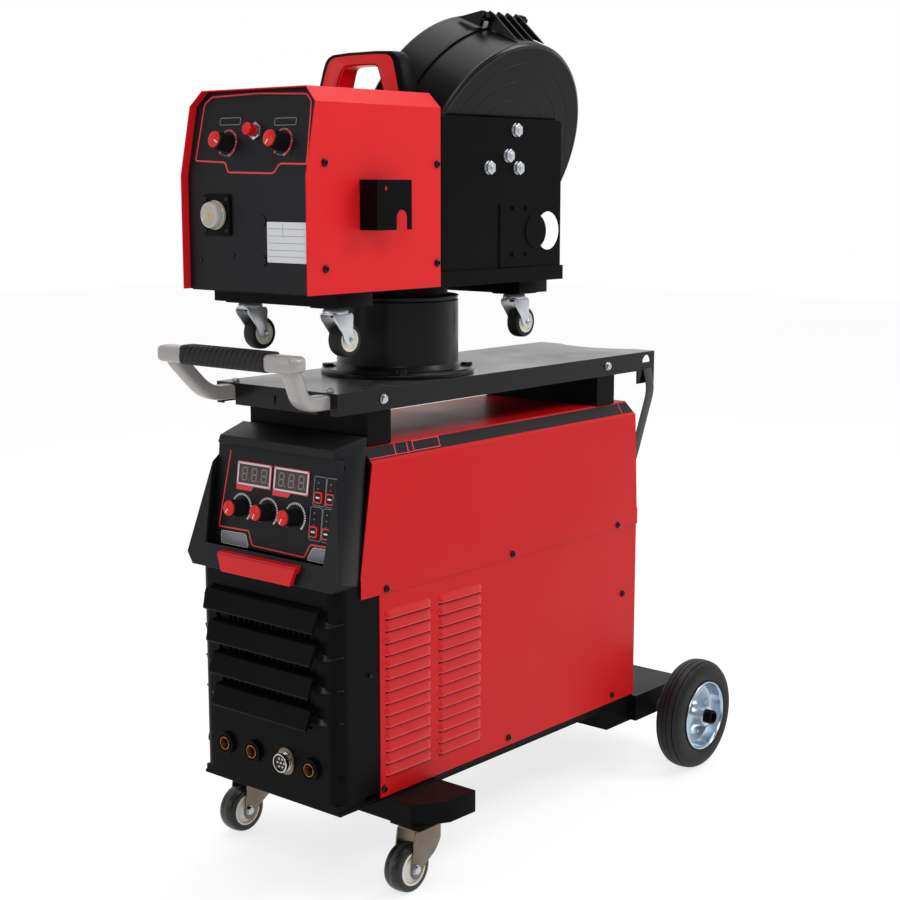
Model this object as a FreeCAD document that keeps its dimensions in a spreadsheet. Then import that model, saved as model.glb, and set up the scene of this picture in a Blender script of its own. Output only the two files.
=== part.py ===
import FreeCAD, Part
import os
import re
from math import cos, pi, radians, sin, tan

import Sketcher
from FreeCAD import Placement, Rotation, Vector

# An inverter welding power source on a four-wheeled trolley, with a wire feeder that turns on a
# pedestal above it. Millimetres. +X is the user's right when facing the panel, the panel faces -Y,
# +Z is up, and the floor is z = 0. Fore-and-aft sizes are measured from the front edge of the case's
# side panels, and deep() moves them to the origin, which is midway between the push handle and the
# back of the rear wheels.

SIZES = {
    # sheet metal, gaps and fits
    "skin": 1.5,
    "plate": 3,
    "gap": 0.3,
    "running_gap": 0.05,
    # case of the power source
    "case_half": 150,
    "case_depth": 676,
    "case_low": 143,
    "seam_height": 458,
    "seam_overlap": 14,
    "band_height": 26,
    "joggle_height": 5,
    "shoulder_half": 144,
    "shoulder_drop": 22.4,
    "roof_half": 121,
    "roof_height": 676,
    "cover_front_low": -41,
    "cover_front_high": -7,
    # louvres pressed in the side panels
    "louvre_length": 96,
    "louvre_rise": 10,
    "louvre_proud": 4,
    "louvre_pitch": 18.7,
    "louvre_rows": 14,
    "louvre_columns": 2,
    "louvre_column_pitch": 122,
    "louvre_front": 16,
    "louvre_low": 176,
    "screw_inset": 62,
    # chassis under the case
    "chassis_low": 138,
    "chassis_front": -86,
    "sill_half": 145,
    "sill_depth": 60,
    "rail_inset": 6,
    "rail_lap": 20,
    "rail_depth": 10,
    "rail_width": 30,
    "beam_low": 103,
    "beam_front": 16,
    "beam_rear": 129,
    "beam_front_half": 195,
    "beam_corner_half": 227,
    "beam_corner": 71,
    "beam_flare": 1.5,
    "beam_mouth_inset": 45,
    "platform_half": 156,
    "platform_inset": 76,
    "platform_overhang": 162,
    "platform_low": 91,
    "platform_high": 138,
    # back of the case
    "fan_height": 330,
    "fan_radius": 66,
    "fan_ring_pitch": 16,
    "fan_ring_width": 3,
    "fan_hub": 19,
    "fan_pin": 3,
    "switch_x": 80,
    "switch_height": 560,
    "switch_boss": 18,
    "switch_stem": 6,
    "switch_bar": 30,
    "gland_radius": 13,
    "gland_bore": 6.5,
    # rear wheels
    "rear_wheel_radius": 100,
    "axle_overhang": 85.7,
    "rear_wheel_outer": 249,
    "rear_wheel_width": 48,
    "rim_radius": 62,
    "rim_web": 4,
    "wheel_hub_radius": 17,
    "hub_proud_in": 12,
    "hub_sunk_out": 16,
    "axle_radius": 10,
    "axle_cap_radius": 12.5,
    "axle_cap_length": 12,
    # front castors
    "castor_x": 183,
    "castor_y": 48,
    "castor_wheel_radius": 37.5,
    "castor_wheel_width": 30,
    "castor_trail": 28,
    # feeder castors
    "small_castor_x": 90,
    "small_castor_front": -24.5,
    "small_castor_rear": 394,
    "small_wheel_radius": 25,
    "small_wheel_width": 22,
    "small_trail": -18,
    # black moulded front of the case
    "grille_front": -88,
    "grille_low": 153,
    "grille_high": 478,
    "grille_half": 148.5,
    "grille_corner": 22,
    "wall": 3.5,
    "intake_high_half": 121,
    "intake_low_half": 99,
    "intake_drop": 28,
    "intake_height": 188,
    "intake_lap": 4,
    "slats": 4,
    "slat_pitch": 50,
    "slat_drop": 34,
    "slat_height": 31,
    "slat_lip": 14,
    "slat_reach": 22,
    "slat_thickness": 4.5,
    "screen_sheet": 1.5,
    "screen_pitch": 12,
    "screen_slot": 7,
    "socket_rise": 47,
    "socket_left": -92,
    "socket_inner": -32,
    "socket_right": 92,
    "connector_x": 38,
    "socket_radius": 10,
    "socket_bore": 6.5,
    "boss_radius": 17,
    "connector_radius": 15,
    # hood round the control panel
    "brow_half": 122,
    "brow_front": -63,
    "brow_rise": 2,
    "crest_half": 132,
    "crest_front": -5,
    "crest_rise": 16,
    "cheek_half": 165,
    "cheek_front": -97.5,
    "cheek_rise": 16.5,
    "chin_half": 150,
    "hood_wall": 4,
    # control panel, leaning back
    "panel_lean": 7.07,
    "panel_front": -64,
    "panel_above_middle": 6.75,
    "panel_top_half": 133,
    "panel_bottom_half": 126,
    "panel_rise_share": 0.4022,
    "panel_fall_share": 0.4463,
    "panel_sheet": 3,
    "display_width": 74,
    "display_height": 36,
    "display_row": 31,
    "display_left": -48.7,
    "display_right": 30.7,
    "display_proud": 1,
    "board_half": 115,
    "board_height": 120,
    "board_drop": 65,
    "board_room": 9,
    "board_post": 3,
    "knob_radius": 13.5,
    "knob_length": 26,
    "knob_foot": 1.5,
    "flute_radius": 2.4,
    "knob_row": -21.6,
    "knob_left": -72.5,
    "knob_middle": -15.4,
    "knob_right": 42.9,
    "shaft_radius": 3,
    "key_width": 17,
    "key_proud": 3,
    # red wedge under the control panel
    "wedge_front": -111,
    "wedge_lift": 1,
    "wedge_height": 29,
    "wedge_low_half": 73,
    "wedge_high_half": 84,
    # tray above the case
    "tray_half": 128,
    "tray_front": -62,
    "tray_overhang": 81,
    "tray_rise": 84,
    "tray_flange": 33,
    "ear_drop": 56,
    "ear_length": 54,
    "cutout_radius": 150,
    "cutout_depth": 26,
    "leg_front": 3,
    "leg_rear_inset": 92,
    "leg_width": 52,
    # push handle
    "handle_half": 146,
    "grip_front": -168,
    "bar_depth": 33,
    "bar_rise": 37,
    "bar_thickness": 25,
    "grip_half": 88,
    "grip_wall": 1.5,
    "arm_outer_high": 136,
    "arm_outer_low": 113,
    "arm_width": 26,
    "arm_depth": 25,
    "groove_pitch": 16,
    "groove_width": 2.4,
    "foot_front": -99,
    "foot_length": 70,
    "toe_reach": 19,
    "toe_radius": 7,
    "foot_bolt_inset": 20,
    "foot_drop": 15,
    "bolt_radius": 4,
    "screw_radius": 4.5,
    "screw_proud": 3.5,
    "moon_radius": 13,
    "ear_hole": 3.5,
    # webbing strap for a gas bottle
    "strap_width": 25,
    "strap_thickness": 2.5,
    "strap_low": 450,
    "strap_inset": 12,
    "strap_top_drop": 30,
    "strap_swell": 12,
    "strap_swell_drop": 66,
    "strap_bend_inset": 30,
    "strap_bend_rise": 90,
    "strap_turn_inset": 72,
    "strap_turn_rise": 18,
    "strap_floor_half": 30,
    # pedestal
    "pivot": 208,
    "pedestal_flange": 122,
    "pedestal_radius": 97,
    "pedestal_height": 112,
    "pedestal_foot": 10,
    "lug_radius": 9,
    "lug_height": 15,
    "pivot_radius": 20,
    # wire feeder
    "pedestal_rise": 122,
    "beam_height": 19,
    "boss_rise": 2,
    "feeder_half": 130.6,
    "feeder_rear": 162,
    "feeder_brim": -120.6,
    "knee_rise": 167,
    "feeder_lean": 11.4,
    "feeder_knob_left": -52,
    "feeder_knob_right": 62,
    "feeder_knob_row": 47,
    "button_x": 7.3,
    "button_row": 62.5,
    "button_radius": 8.8,
    "button_collar": 8,
    "button_proud": 22.5,
    "button_nut_proud": 4,
    "plug_radius": 8,
    "plug_x": 28,
    "plug_high_drop": 7.5,
    "plug_low_drop": 64,
    "torch_x": -64,
    "torch_rise": 110.5,
    "torch_cap_radius": 21,
    "torch_cap_proud": 21,
    "torch_flange_half": 28.5,
    "torch_flange_rise": 30,
    "torch_flange_proud": 4,
    "bracket_front": -15,
    "bracket_rear": 59,
    "bracket_low_rise": 90,
    "bracket_high_rise": 161,
    "bracket_out": 34,
    "bracket_sheet": 2,
    "bracket_foot": 42,
    "bracket_slot": 11.5,
    "bracket_slot_rise": 17,
    "feeder_handle_front": 136,
    "feeder_handle_rear": 160,
    "feeder_handle_rise": 352,
    "feeder_handle_foot": 18,
    "feeder_handle_half": 72,
    "feeder_handle_shoulder": 17,
    "finger_low_half": 48,
    "finger_high_half": 31,
    "finger_drop": 21,
    "feeder_shoulder_rise": 267,
    "feeder_rise": 289,
    "feeder_roof_half": 108,
    "front_set_back": 13,
    "crossbeam_half": 128.7,
    "front_crossbeam": -61,
    "rear_crossbeam": 357,
    "crossbeam_width": 73,
    "feeder_chassis_rear": 475,
    "floor_lip": 23,
    "side_plate_x": 121,
    "side_plate_front": 172,
    "side_plate_rise": 257,
    "window_y": 440,
    "window_rise": 80,
    "window_radius": 31,
    # spool and its cover, on an axis that leans
    "spool_lean": 21.6,
    "spool_x": 93,
    "spool_y": 356,
    "spool_rise": 195.5,
    "cover_radius": 187,
    "cover_split": 78,
    "cover_width": 145,
    "cover_wall": 3,
    "rib_proud": 3,
    "rib_width": 7,
    "spool_radius": 150,
    "spool_width": 103,
    "spool_bore": 26,
    "hinge_height": 16,
    "hinge_pin_radius": 4,
    "gusset_pitch": 22,
    "gusset_width": 4,
}

# Places that follow from the sizes: each name stands for its expression wherever it is used.
PLACES = {
    "shoulder_height": "(roof_height - shoulder_drop)",
    "brow_height": "(roof_height + brow_rise)",
    "crest_height": "(roof_height + crest_rise)",
    "intake_high": "(grille_high - intake_drop)",
    "intake_low": "(intake_high - intake_height)",
    "slat_top": "(grille_high - slat_drop)",
    "socket_height": "(grille_low + socket_rise)",
    "cheek_height": "(grille_high + cheek_rise)",
    "wedge_low": "(grille_high + wedge_lift)",
    "wedge_high": "(wedge_low + wedge_height)",
    "panel_height": "((cheek_height + roof_height) / 2 + panel_above_middle)",
    "panel_rise": "((roof_height - cheek_height) * panel_rise_share)",
    "panel_fall": "((roof_height - cheek_height) * panel_fall_share)",
    "platform_front": "(case_depth - platform_inset)",
    "platform_rear": "(case_depth + platform_overhang)",
    "rear_wheel_centre": "(case_depth + axle_overhang)",
    "tray_top": "(roof_height + tray_rise)",
    "tray_rear": "(case_depth + tray_overhang)",
    "leg_rear": "(case_depth - leg_rear_inset)",
    "foot_bolt": "(foot_front + foot_length - foot_bolt_inset)",
    "arm_middle": "(arm_outer_low - arm_width / 2)",
    "bar_low": "(tray_top + bar_rise)",
    "bar_high": "(bar_low + bar_thickness)",
    "foot_low": "(tray_top - foot_drop)",
    "feeder_low": "(tray_top + pedestal_rise)",
    "feeder_floor": "(feeder_low + beam_height)",
    "boss_low": "(feeder_low + boss_rise)",
    "feeder_knee_height": "(feeder_floor + knee_rise)",
    "feeder_shoulder_height": "(feeder_floor + feeder_shoulder_rise)",
    "feeder_height": "(feeder_floor + feeder_rise)",
    "feeder_handle_height": "(feeder_floor + feeder_handle_rise)",
    "torch_height": "(feeder_floor + torch_rise)",
    "bracket_low": "(feeder_floor + bracket_low_rise)",
    "bracket_high": "(feeder_floor + bracket_high_rise)",
    "side_plate_rear": "(feeder_chassis_rear - skin - gap)",
    "side_plate_high": "(feeder_floor + side_plate_rise)",
    "window_height": "(feeder_floor + window_rise)",
    "spool_height": "(feeder_floor + spool_rise)",
}

doc = FreeCAD.newDocument("welder")
sheet = doc.addObject("Spreadsheet::Sheet", "Sizes")
for row, (alias, value) in enumerate(SIZES.items(), start=1):
    sheet.set(f"A{row}", alias)
    sheet.set(f"B{row}", str(value))
    sheet.setAlias(f"B{row}", alias)
doc.recompute()

WORD = re.compile(r"[a-z_]+")
MIDDLE = "(rear_wheel_centre + rear_wheel_radius + grip_front) / 2"
UPRIGHT = {
    "x": Rotation(Vector(0, 1, 0), 90),
    "y": Rotation(Vector(1, 0, 0), -90),
    "z": Rotation(),
}
PLANES = {"xy": "XY_Plane", "xz": "XZ_Plane", "yz": "YZ_Plane"}
PARTS = []


def bound(text):
    """An expression in which every place is spelled out and every size is looked up in the sheet."""
    def look_up(word):
        if word[0] in PLACES:
            return bound(PLACES[word[0]])
        return "Sizes." + word[0] if word[0] in SIZES else word[0]

    return WORD.sub(look_up, str(text))


def number(text):
    """The present value of an expression."""
    return float(sheet.evalExpression(bound(text)))


def deep(text):
    """A fore-and-aft place, given from the case's front edge, as one from the origin."""
    return f"({text}) - {MIDDLE}"


def put(thing, x="0", y="0", z="0", turn=None):
    """Places a thing by expressions; y is already from the origin."""
    if turn:
        thing.Placement = Placement(Vector(), turn)
    for axis, text in zip("xyz", (x, y, z)):
        thing.setExpression(".Placement.Base." + axis, bound(text))
    return thing


def box(name, x, y, z):
    """A block between two places along each axis."""
    block = doc.addObject("Part::Box", name)
    for length, (low, high) in zip(("Length", "Width", "Height"), (x, y, z)):
        block.setExpression(length, bound(f"({high}) - ({low})"))
    return put(block, x[0], deep(y[0]), z[0])


def rod(name, radius, axis, span, first, second):
    """A cylinder along one axis over a span, at two places across it in X, Y, Z order."""
    bar = doc.addObject("Part::Cylinder", name)
    bar.setExpression("Radius", bound(radius))
    bar.setExpression("Height", bound(f"({span[1]}) - ({span[0]})"))
    across = [first, second]
    across.insert("xyz".index(axis), span[0])
    return put(bar, across[0], deep(across[1]), across[2], UPRIGHT[axis])


def fuse(name, *pieces):
    """Pieces joined into one solid."""
    whole = doc.addObject("Part::MultiFuse", name)
    whole.Shapes = list(pieces)
    return whole


def cut(name, base, *tools):
    """A piece with others taken out of it."""
    whole = doc.addObject("Part::Cut", name)
    whole.Base = base
    whole.Tool = tools[0] if len(tools) == 1 else fuse(name + "_tools", *tools)
    return whole


def group(name, *pieces):
    """Separate solids kept in one node."""
    whole = doc.addObject("Part::Compound", name)
    whole.Links = list(pieces)
    return whole


def mirror(name, source):
    """The same piece on the other side of the middle plane."""
    other = doc.addObject("Part::Mirroring", name)
    other.Source = source
    other.Normal = Vector(1, 0, 0)
    return other


def both(points):
    """Half an outline with x above zero, completed by its mirror image."""
    return points + [(f"-({x})", y) for x, y in reversed(points)]


def sketch(body, name, plane, points, offset="0"):
    """A closed outline of straight sides, each corner held by two expressions."""
    outline = body.newObject("Sketcher::SketchObject", name)
    role = PLANES[plane]
    base = next(item for item in body.Origin.OriginFeatures if item.Role == role)
    outline.AttachmentSupport = (base, [""])
    outline.MapMode = "FlatFace"
    outline.setExpression(".AttachmentOffset.Base.z", bound(offset))
    corners = [(number(a), number(b)) for a, b in points]
    count = len(corners)
    for index, (a, b) in enumerate(corners):
        after = corners[(index + 1) % count]
        outline.addGeometry(Part.LineSegment(Vector(a, b, 0), Vector(*after, 0)), False)
    for index in range(count):
        outline.addConstraint(Sketcher.Constraint("Coincident", index, 2, (index + 1) % count, 1))
    for index, corner in enumerate(corners):
        for kind, value, text in zip(("DistanceX", "DistanceY"), corner, points[index]):
            held = outline.addConstraint(Sketcher.Constraint(kind, -1, 1, index, 1, value))
            outline.setExpression(f"Constraints[{held}]", bound(text))
    return outline


def prism(name, plane, points, low, high):
    """A body padded from an outline in a plane, between two places along the plane's normal."""
    body = doc.addObject("PartDesign::Body", name)
    start = {"xy": low, "yz": low, "xz": f"-({deep(low)})"}[plane]
    if plane == "xy":
        points = [(x, deep(y)) for x, y in points]
    if plane == "yz":
        points = [(deep(y), z) for y, z in points]
    outline = sketch(body, name + "_outline", plane, points, start)
    pad = body.newObject("PartDesign::Pad", name + "_pad")
    pad.Profile = outline
    pad.Reversed = plane == "xz"
    pad.setExpression("Length", bound(f"({high}) - ({low})"))
    body.Tip = pad
    doc.recompute()
    return body


def turned(name, points, axis="z", x="0", y="0", z="0"):
    """A body turned from a half section: pairs of radius and place along its axis."""
    body = doc.addObject("PartDesign::Body", name)
    outline = sketch(body, name + "_section", "xz", points)
    spin = body.newObject("PartDesign::Revolution", name + "_turning")
    spin.Profile = outline
    spin.ReferenceAxis = (outline, ["V_Axis"])
    spin.Angle = 360
    body.Tip = spin
    put(body, x, deep(y), z, UPRIGHT[axis])
    doc.recompute()
    return body


def rounded(body, radius, pick):
    """Rounds the edges of a body that the test picks."""
    tip = body.Tip
    names = [f"Edge{n}" for n, edge in enumerate(tip.Shape.Edges, start=1) if pick(edge)]
    fillet = body.newObject("PartDesign::Fillet", body.Name + "_rounding")
    fillet.Base = (tip, names)
    fillet.setExpression("Radius", bound(radius))
    body.Tip = fillet
    doc.recompute()
    return body


def along(axis):
    """A test for straight edges that run along an axis."""
    way = Vector(*[float(axis == letter) for letter in "xyz"])

    def pick(edge):
        if edge.Curve.TypeId != "Part::GeomLine":
            return False
        return abs(edge.tangentAt(edge.FirstParameter).dot(way)) > 0.99

    return pick


def keep(thing, name):
    """Marks a finished piece, whose label names its file."""
    thing.Label = name
    PARTS.append(thing)
    return thing


def build_chassis():
    """The welded trolley under the case: floor, sill, rails, and the gas bottle's platform."""
    floor = box("chassis_floor", ("-case_half + skin + gap", "case_half - skin - gap"),
                ("chassis_front", "case_depth - skin"), ("chassis_low", "case_low"))
    sill = box("chassis_sill", ("-sill_half", "sill_half"), ("chassis_front", "chassis_front + sill_depth"),
               ("chassis_low", "grille_low"))
    pieces = [floor, sill]
    for side in ("-", ""):
        outside = "case_half - rail_inset"
        ends = (f"-({outside})", f"-({outside}) + rail_width")
        if side == "":
            ends = (f"{outside} - rail_width", outside)
        pieces.append(box("chassis_rail", ends, ("beam_rear + gap", "platform_front + rail_lap"),
                          ("chassis_low - rail_depth", "chassis_low")))
    deck = box("platform_deck", ("-platform_half", "platform_half"),
               ("case_depth + gap", "platform_rear"), ("platform_low", "platform_high"))
    tongue = box("platform_tongue", ("-sill_half", "sill_half"),
                 ("platform_front", "case_depth + 1"), ("platform_low", "chassis_low"))
    outer = fuse("platform_block", deck, tongue)
    hollow = box("platform_hollow", ("-platform_half + plate", "platform_half - plate"),
                 ("case_depth + plate", "platform_rear - plate"),
                 ("platform_low - 1", "platform_high - plate"))
    tongue_hollow = box("tongue_hollow", ("-sill_half + plate", "sill_half - plate"),
                        ("platform_front + plate", "case_depth + plate + 1"),
                        ("platform_low - 1", "chassis_low - plate"))
    bore = rod("platform_bore", "axle_radius + running_gap", "x",
               ("-platform_half - 1", "platform_half + 1"), "rear_wheel_centre", "rear_wheel_radius")
    platform = cut("platform", outer, hollow, tongue_hollow, bore)
    keep(fuse("base_frame", *pieces, platform), "base_frame")


def build_outrigger():
    """The box beam across the front that carries the two castors, with its corners cut off."""
    edge = both([("beam_front_half", "beam_front"), ("beam_corner_half", "beam_corner"),
                 ("beam_corner_half + beam_flare", "beam_rear")])
    outer = prism("beam_outer", "xy", edge, "beam_low", "chassis_low")
    inset = both([("beam_front_half - plate", "beam_front + plate"),
                  ("beam_corner_half - plate", "beam_corner + plate"),
                  ("beam_corner_half + beam_flare - plate", "beam_rear - plate")])
    hollow = prism("beam_hollow", "xy", inset, "beam_low + plate", "chassis_low - plate")
    mouth = box("beam_mouth", ("-castor_x + beam_mouth_inset", "castor_x - beam_mouth_inset"),
                ("beam_front + 2 * plate", "beam_rear - 2 * plate"), ("beam_low - 1", "beam_low + plate + 1"))
    pieces = [cut("beam_shell", outer, hollow, mouth)]
    for side in ("", "-"):
        pieces.append(castor_plate(f"{side}castor_x", "castor_y", "beam_low", FRONT_CASTOR))
    keep(fuse("front_outrigger", *pieces), "front_outrigger")


# A castor's own sizes: wheel radius and width, trail, half sizes of the plate along X and Y,
# plate thickness, raceway radius, fork thickness, axle radius, king pin radius, the drop from the
# top of the plate to the axle, and half the fork's width at its foot.
FRONT_CASTOR = {
    "wheel": "castor_wheel_radius", "width": "castor_wheel_width", "trail": "castor_trail",
    "half_x": 30, "half_y": 32, "plate": 3, "race": 24, "fork": 2.5, "axle": 4, "pin": 6, "drop": 65.5,
    "foot": 9,
}
SMALL_CASTOR = {
    "wheel": "small_wheel_radius", "width": "small_wheel_width", "trail": "small_trail",
    "half_x": 24, "half_y": 28, "plate": 2.5, "race": 19, "fork": 2, "axle": 3, "pin": 5, "drop": 50,
    "foot": 9,
}


def castor_plate(x, y, top, kind):
    """The fixed plate of a castor, with the pin that its fork turns on."""
    thick = kind["plate"]
    plate = box("castor_plate", (f"{x} - {kind['half_x']}", f"{x} + {kind['half_x']}"),
                (f"{y} - {kind['half_y']}", f"{y} + {kind['half_y']}"), (f"{top} - {thick}", top))
    pin = rod("castor_pin", kind["pin"], "z", (f"{top} - {thick} - 12", top), x, y)
    head = rod("castor_pin_head", kind["pin"] + 3, "z",
               (f"{top} - {thick} - 14", f"{top} - {thick} - 11"), x, y)
    return fuse("castor_plate_and_pin", plate, pin, head)


def build_castor(name, x, y, top, kind):
    """A castor's fork, pressed from sheet round a raceway, and its wheel with a pale hub."""
    wheel, width, trail, thick = kind["wheel"], kind["width"], kind["trail"], kind["fork"]
    race_top = f"{top} - {kind['plate']} - 0.3"
    hub_height = f"({top} - {kind['drop']})"
    inner = f"({width} / 2 + 1.5)"
    cap = f"({race_top} - 9)"
    race = rod("race", kind["race"], "z", (cap, race_top), x, y)
    crown = box("crown", (f"{x} - {inner} - {thick}", f"{x} + {inner} + {thick}"),
                (f"{y} - {kind['race']} * 0.9", f"{y} + {kind['race']} * 0.9"),
                (f"{cap} - {thick}", f"{cap} + 0.5"))
    legs = []
    for side in ("-", "+"):
        near = f"{x} {side} {inner}" if side == "+" else f"{x} - {inner} - {thick}"
        far = f"{x} + {inner} + {thick}" if side == "+" else f"{x} - {inner}"
        outline = [
            (f"{y} + {kind['race']} * 0.9", f"{cap} + 0.5"),
            (f"{y} - {kind['race']} * 0.9", f"{cap} + 0.5"),
            (f"{y} - {kind['race']} * 0.9", f"{cap} - {thick} - 9"),
            (f"{y} - {trail} - {kind['foot']}", f"{hub_height} + 2"),
            (f"{y} - {trail} - {kind['foot']} * 2 / 3", f"{hub_height} - 7"),
            (f"{y} - {trail} + {kind['foot']} * 2 / 3", f"{hub_height} - 7"),
            (f"{y} - {trail} + {kind['foot']}", f"{hub_height} + 2"),
            (f"{y} + {kind['race']} * 0.9", f"{cap} - {thick} - 9"),
        ]
        leg = prism("castor_leg", "yz", outline, near, far)
        legs.append(rounded(leg, 3, along("x")))
    axle = rod("castor_axle", kind["axle"], "x",
               (f"{x} - {inner} - {thick} - 4", f"{x} + {inner} + {thick} + 4"),
               f"{y} - {trail}", hub_height)
    nut = rod("castor_nut", f"{kind['axle']} + 3", "x",
              (f"{x} + {inner} + {thick} - 0.5", f"{x} + {inner} + {thick} + 3"),
              f"{y} - {trail}", hub_height)
    other_nut = rod("castor_head", f"{kind['axle']} + 3", "x",
                    (f"{x} - {inner} - {thick} - 3", f"{x} - {inner} - {thick} + 0.5"),
                    f"{y} - {trail}", hub_height)
    bore = rod("race_bore", f"{kind['pin']} + running_gap", "z", (f"{cap} - 20", f"{race_top} + 1"), x, y)
    pocket = rod("race_pocket", f"{kind['pin']} + 3.3", "z",
                 (f"{cap} - 20", f"{top} - {kind['plate']} - 10.6"), x, y)
    body = fuse("castor_fork_blank", race, crown, *legs, axle, nut, other_nut)
    keep(cut("castor_fork", body, bore, pocket), f"{name}_fork")
    half = f"({width} / 2)"
    side = [(f"{kind['axle']} + running_gap", f"{half} + 1"), ("9", f"{half} + 1"), ("10", f"{half} - 4"),
            (f"{wheel} * 0.62", f"{half} - 4"), (f"{wheel} * 0.68", half), (f"{wheel} - 4", half),
            (f"{wheel} - 1", f"{half} - 3"), (wheel, f"{half} - 7")]
    section = [(radius, f"-({place})") for radius, place in side] + list(reversed(side))
    keep(turned("castor_wheel", section, "x", x, f"{y} - {trail}", hub_height), f"{name}_wheel")


def build_rear_wheels():
    """Two ribbed rubber tyres on dished steel rims, turning on one axle."""
    centre, height = "rear_wheel_centre", "rear_wheel_radius"
    inner = "(rear_wheel_outer - rear_wheel_width)"
    mid = "(rear_wheel_outer - rear_wheel_width / 2)"
    half = "rear_wheel_width / 2"
    tyre = [("rim_radius + gap", f"-{half} + 4"), ("rim_radius + 6", f"-{half} + 1"),
            ("rear_wheel_radius - 14", f"-{half}"), ("rear_wheel_radius - 5", f"-{half} + 4"),
            ("rear_wheel_radius - 1.5", f"-{half} + 9.5"), ("rear_wheel_radius - 4", f"-{half} + 11"),
            ("rear_wheel_radius - 4", f"-{half} + 13"), ("rear_wheel_radius", f"-{half} + 14.5"),
            ("rear_wheel_radius", "-1.5"), ("rear_wheel_radius - 3", "-0.6"),
            ("rear_wheel_radius - 3", "0.6"), ("rear_wheel_radius", "1.5"),
            ("rear_wheel_radius", f"{half} - 14.5"), ("rear_wheel_radius - 4", f"{half} - 13"),
            ("rear_wheel_radius - 4", f"{half} - 11"), ("rear_wheel_radius - 1.5", f"{half} - 9.5"),
            ("rear_wheel_radius - 5", f"{half} - 4"), ("rear_wheel_radius - 14", half),
            ("rim_radius + 6", f"{half} - 1"), ("rim_radius + gap", f"{half} - 4")]
    hub = "wheel_hub_radius"
    rim = [("axle_radius + running_gap", f"-{half} - hub_proud_in"), (hub, f"-{half} - hub_proud_in"),
           (hub, "-rim_web / 2 - 4"), ("rim_radius - 18", "-rim_web / 2 + 6"),
           ("rim_radius - 5", "-rim_web / 2 + 2"), ("rim_radius - 5", f"-{half} + 5"),
           ("rim_radius", f"-{half} + 4"), ("rim_radius", f"{half} - 4"),
           ("rim_radius - 5", f"{half} - 5"), ("rim_radius - 5", "rim_web / 2 + 2"),
           ("rim_radius - 18", "rim_web / 2 + 6"), (hub, "rim_web / 2 - 4"),
           (hub, f"{half} - hub_sunk_out"), ("axle_radius + running_gap", f"{half} - hub_sunk_out")]
    for side, sign in (("right", ""), ("left", "-")):
        tyre_body = turned("rear_tyre", tyre, "x", mid, centre, height)
        rim_body = turned("rear_rim", rim, "x", mid, centre, height)
        if side == "left":
            tyre_body = mirror("rear_tyre_mirrored", tyre_body)
            rim_body = mirror("rear_rim_mirrored", rim_body)
        keep(tyre_body, f"rear_tyre_{side}")
        keep(rim_body, f"rear_rim_{side}")
    cap_start = f"({mid} + {half} - hub_sunk_out + gap)"
    bar = rod("axle_bar", "axle_radius", "x", (f"-{cap_start} - 4", f"{cap_start} + 4"), centre, height)
    pieces = [bar]
    for ends in ((cap_start, f"{cap_start} + axle_cap_length"),
                 (f"-{cap_start} - axle_cap_length", f"-{cap_start}")):
        pieces.append(rod("axle_cap", "axle_cap_radius", "x", ends, centre, height))
    hub_inner = f"({inner} - hub_proud_in - gap)"
    for ends in (("platform_half", hub_inner), (f"-{hub_inner}", "-platform_half")):
        pieces.append(rod("axle_collar", "wheel_hub_radius", "x", ends, centre, height))
    keep(fuse("rear_axle", *pieces), "rear_axle")


def build_side_panels():
    """The lower side panels, each with two columns of louvres pressed outwards."""
    edge = [("0", "case_low"), ("case_depth - skin", "case_low"),
            ("case_depth - skin", "seam_height + seam_overlap"), ("0", "seam_height + seam_overlap")]
    panel = prism("side_panel", "yz", edge, "case_half - skin", "case_half")
    low, face, lip = "louvre_low", "case_half", "louvre_proud"
    hood = sketch(panel, "louvre_hood", "xz",
                  [(f"{face} - skin / 2", low), (f"{face} + {lip}", low),
                   (f"{face} + {lip}", f"{low} + 1"), (face, f"{low} + louvre_rise"),
                   (f"{face} - skin / 2", f"{low} + louvre_rise")],
                  f"-({deep('louvre_front')})")
    hood_pad = panel.newObject("PartDesign::Pad", "louvre_pad")
    hood_pad.Profile = hood
    hood_pad.Reversed = True
    hood_pad.setExpression("Length", bound("louvre_length"))
    doc.recompute()
    slot = sketch(panel, "louvre_slot", "xz",
                  [(f"{face} - skin - 1", f"{low} - 0.1"), (f"{face} + {lip} - 1.2", f"{low} - 0.1"),
                   (f"{face} - 0.6", f"{low} + louvre_rise - 2.5"),
                   (f"{face} - skin - 1", f"{low} + louvre_rise - 2.5")],
                  f"-({deep('louvre_front + 1.2')})")
    slot_cut = panel.newObject("PartDesign::Pocket", "louvre_pocket")
    slot_cut.Profile = slot
    slot_cut.Reversed = False
    slot_cut.setExpression("Length", bound("louvre_length - 2.4"))
    doc.recompute()
    rows = panel.newObject("PartDesign::LinearPattern", "louvre_rows")
    rows.Originals = [hood_pad, slot_cut]
    axes = {item.Role: item for item in panel.Origin.OriginFeatures}
    rows.Direction = (axes["Z_Axis"], [""])
    rows.setExpression("Length", bound("louvre_pitch * (louvre_rows - 1)"))
    rows.setExpression("Occurrences", bound("louvre_rows"))
    rows.Direction2 = (axes["Y_Axis"], [""])
    rows.setExpression("Length2", bound("louvre_column_pitch * (louvre_columns - 1)"))
    rows.setExpression("Occurrences2", bound("louvre_columns"))
    panel.Tip = rows
    doc.recompute()
    keep(panel, "side_panel_right")
    keep(mirror("side_panel_mirrored", panel), "side_panel_left")


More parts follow.
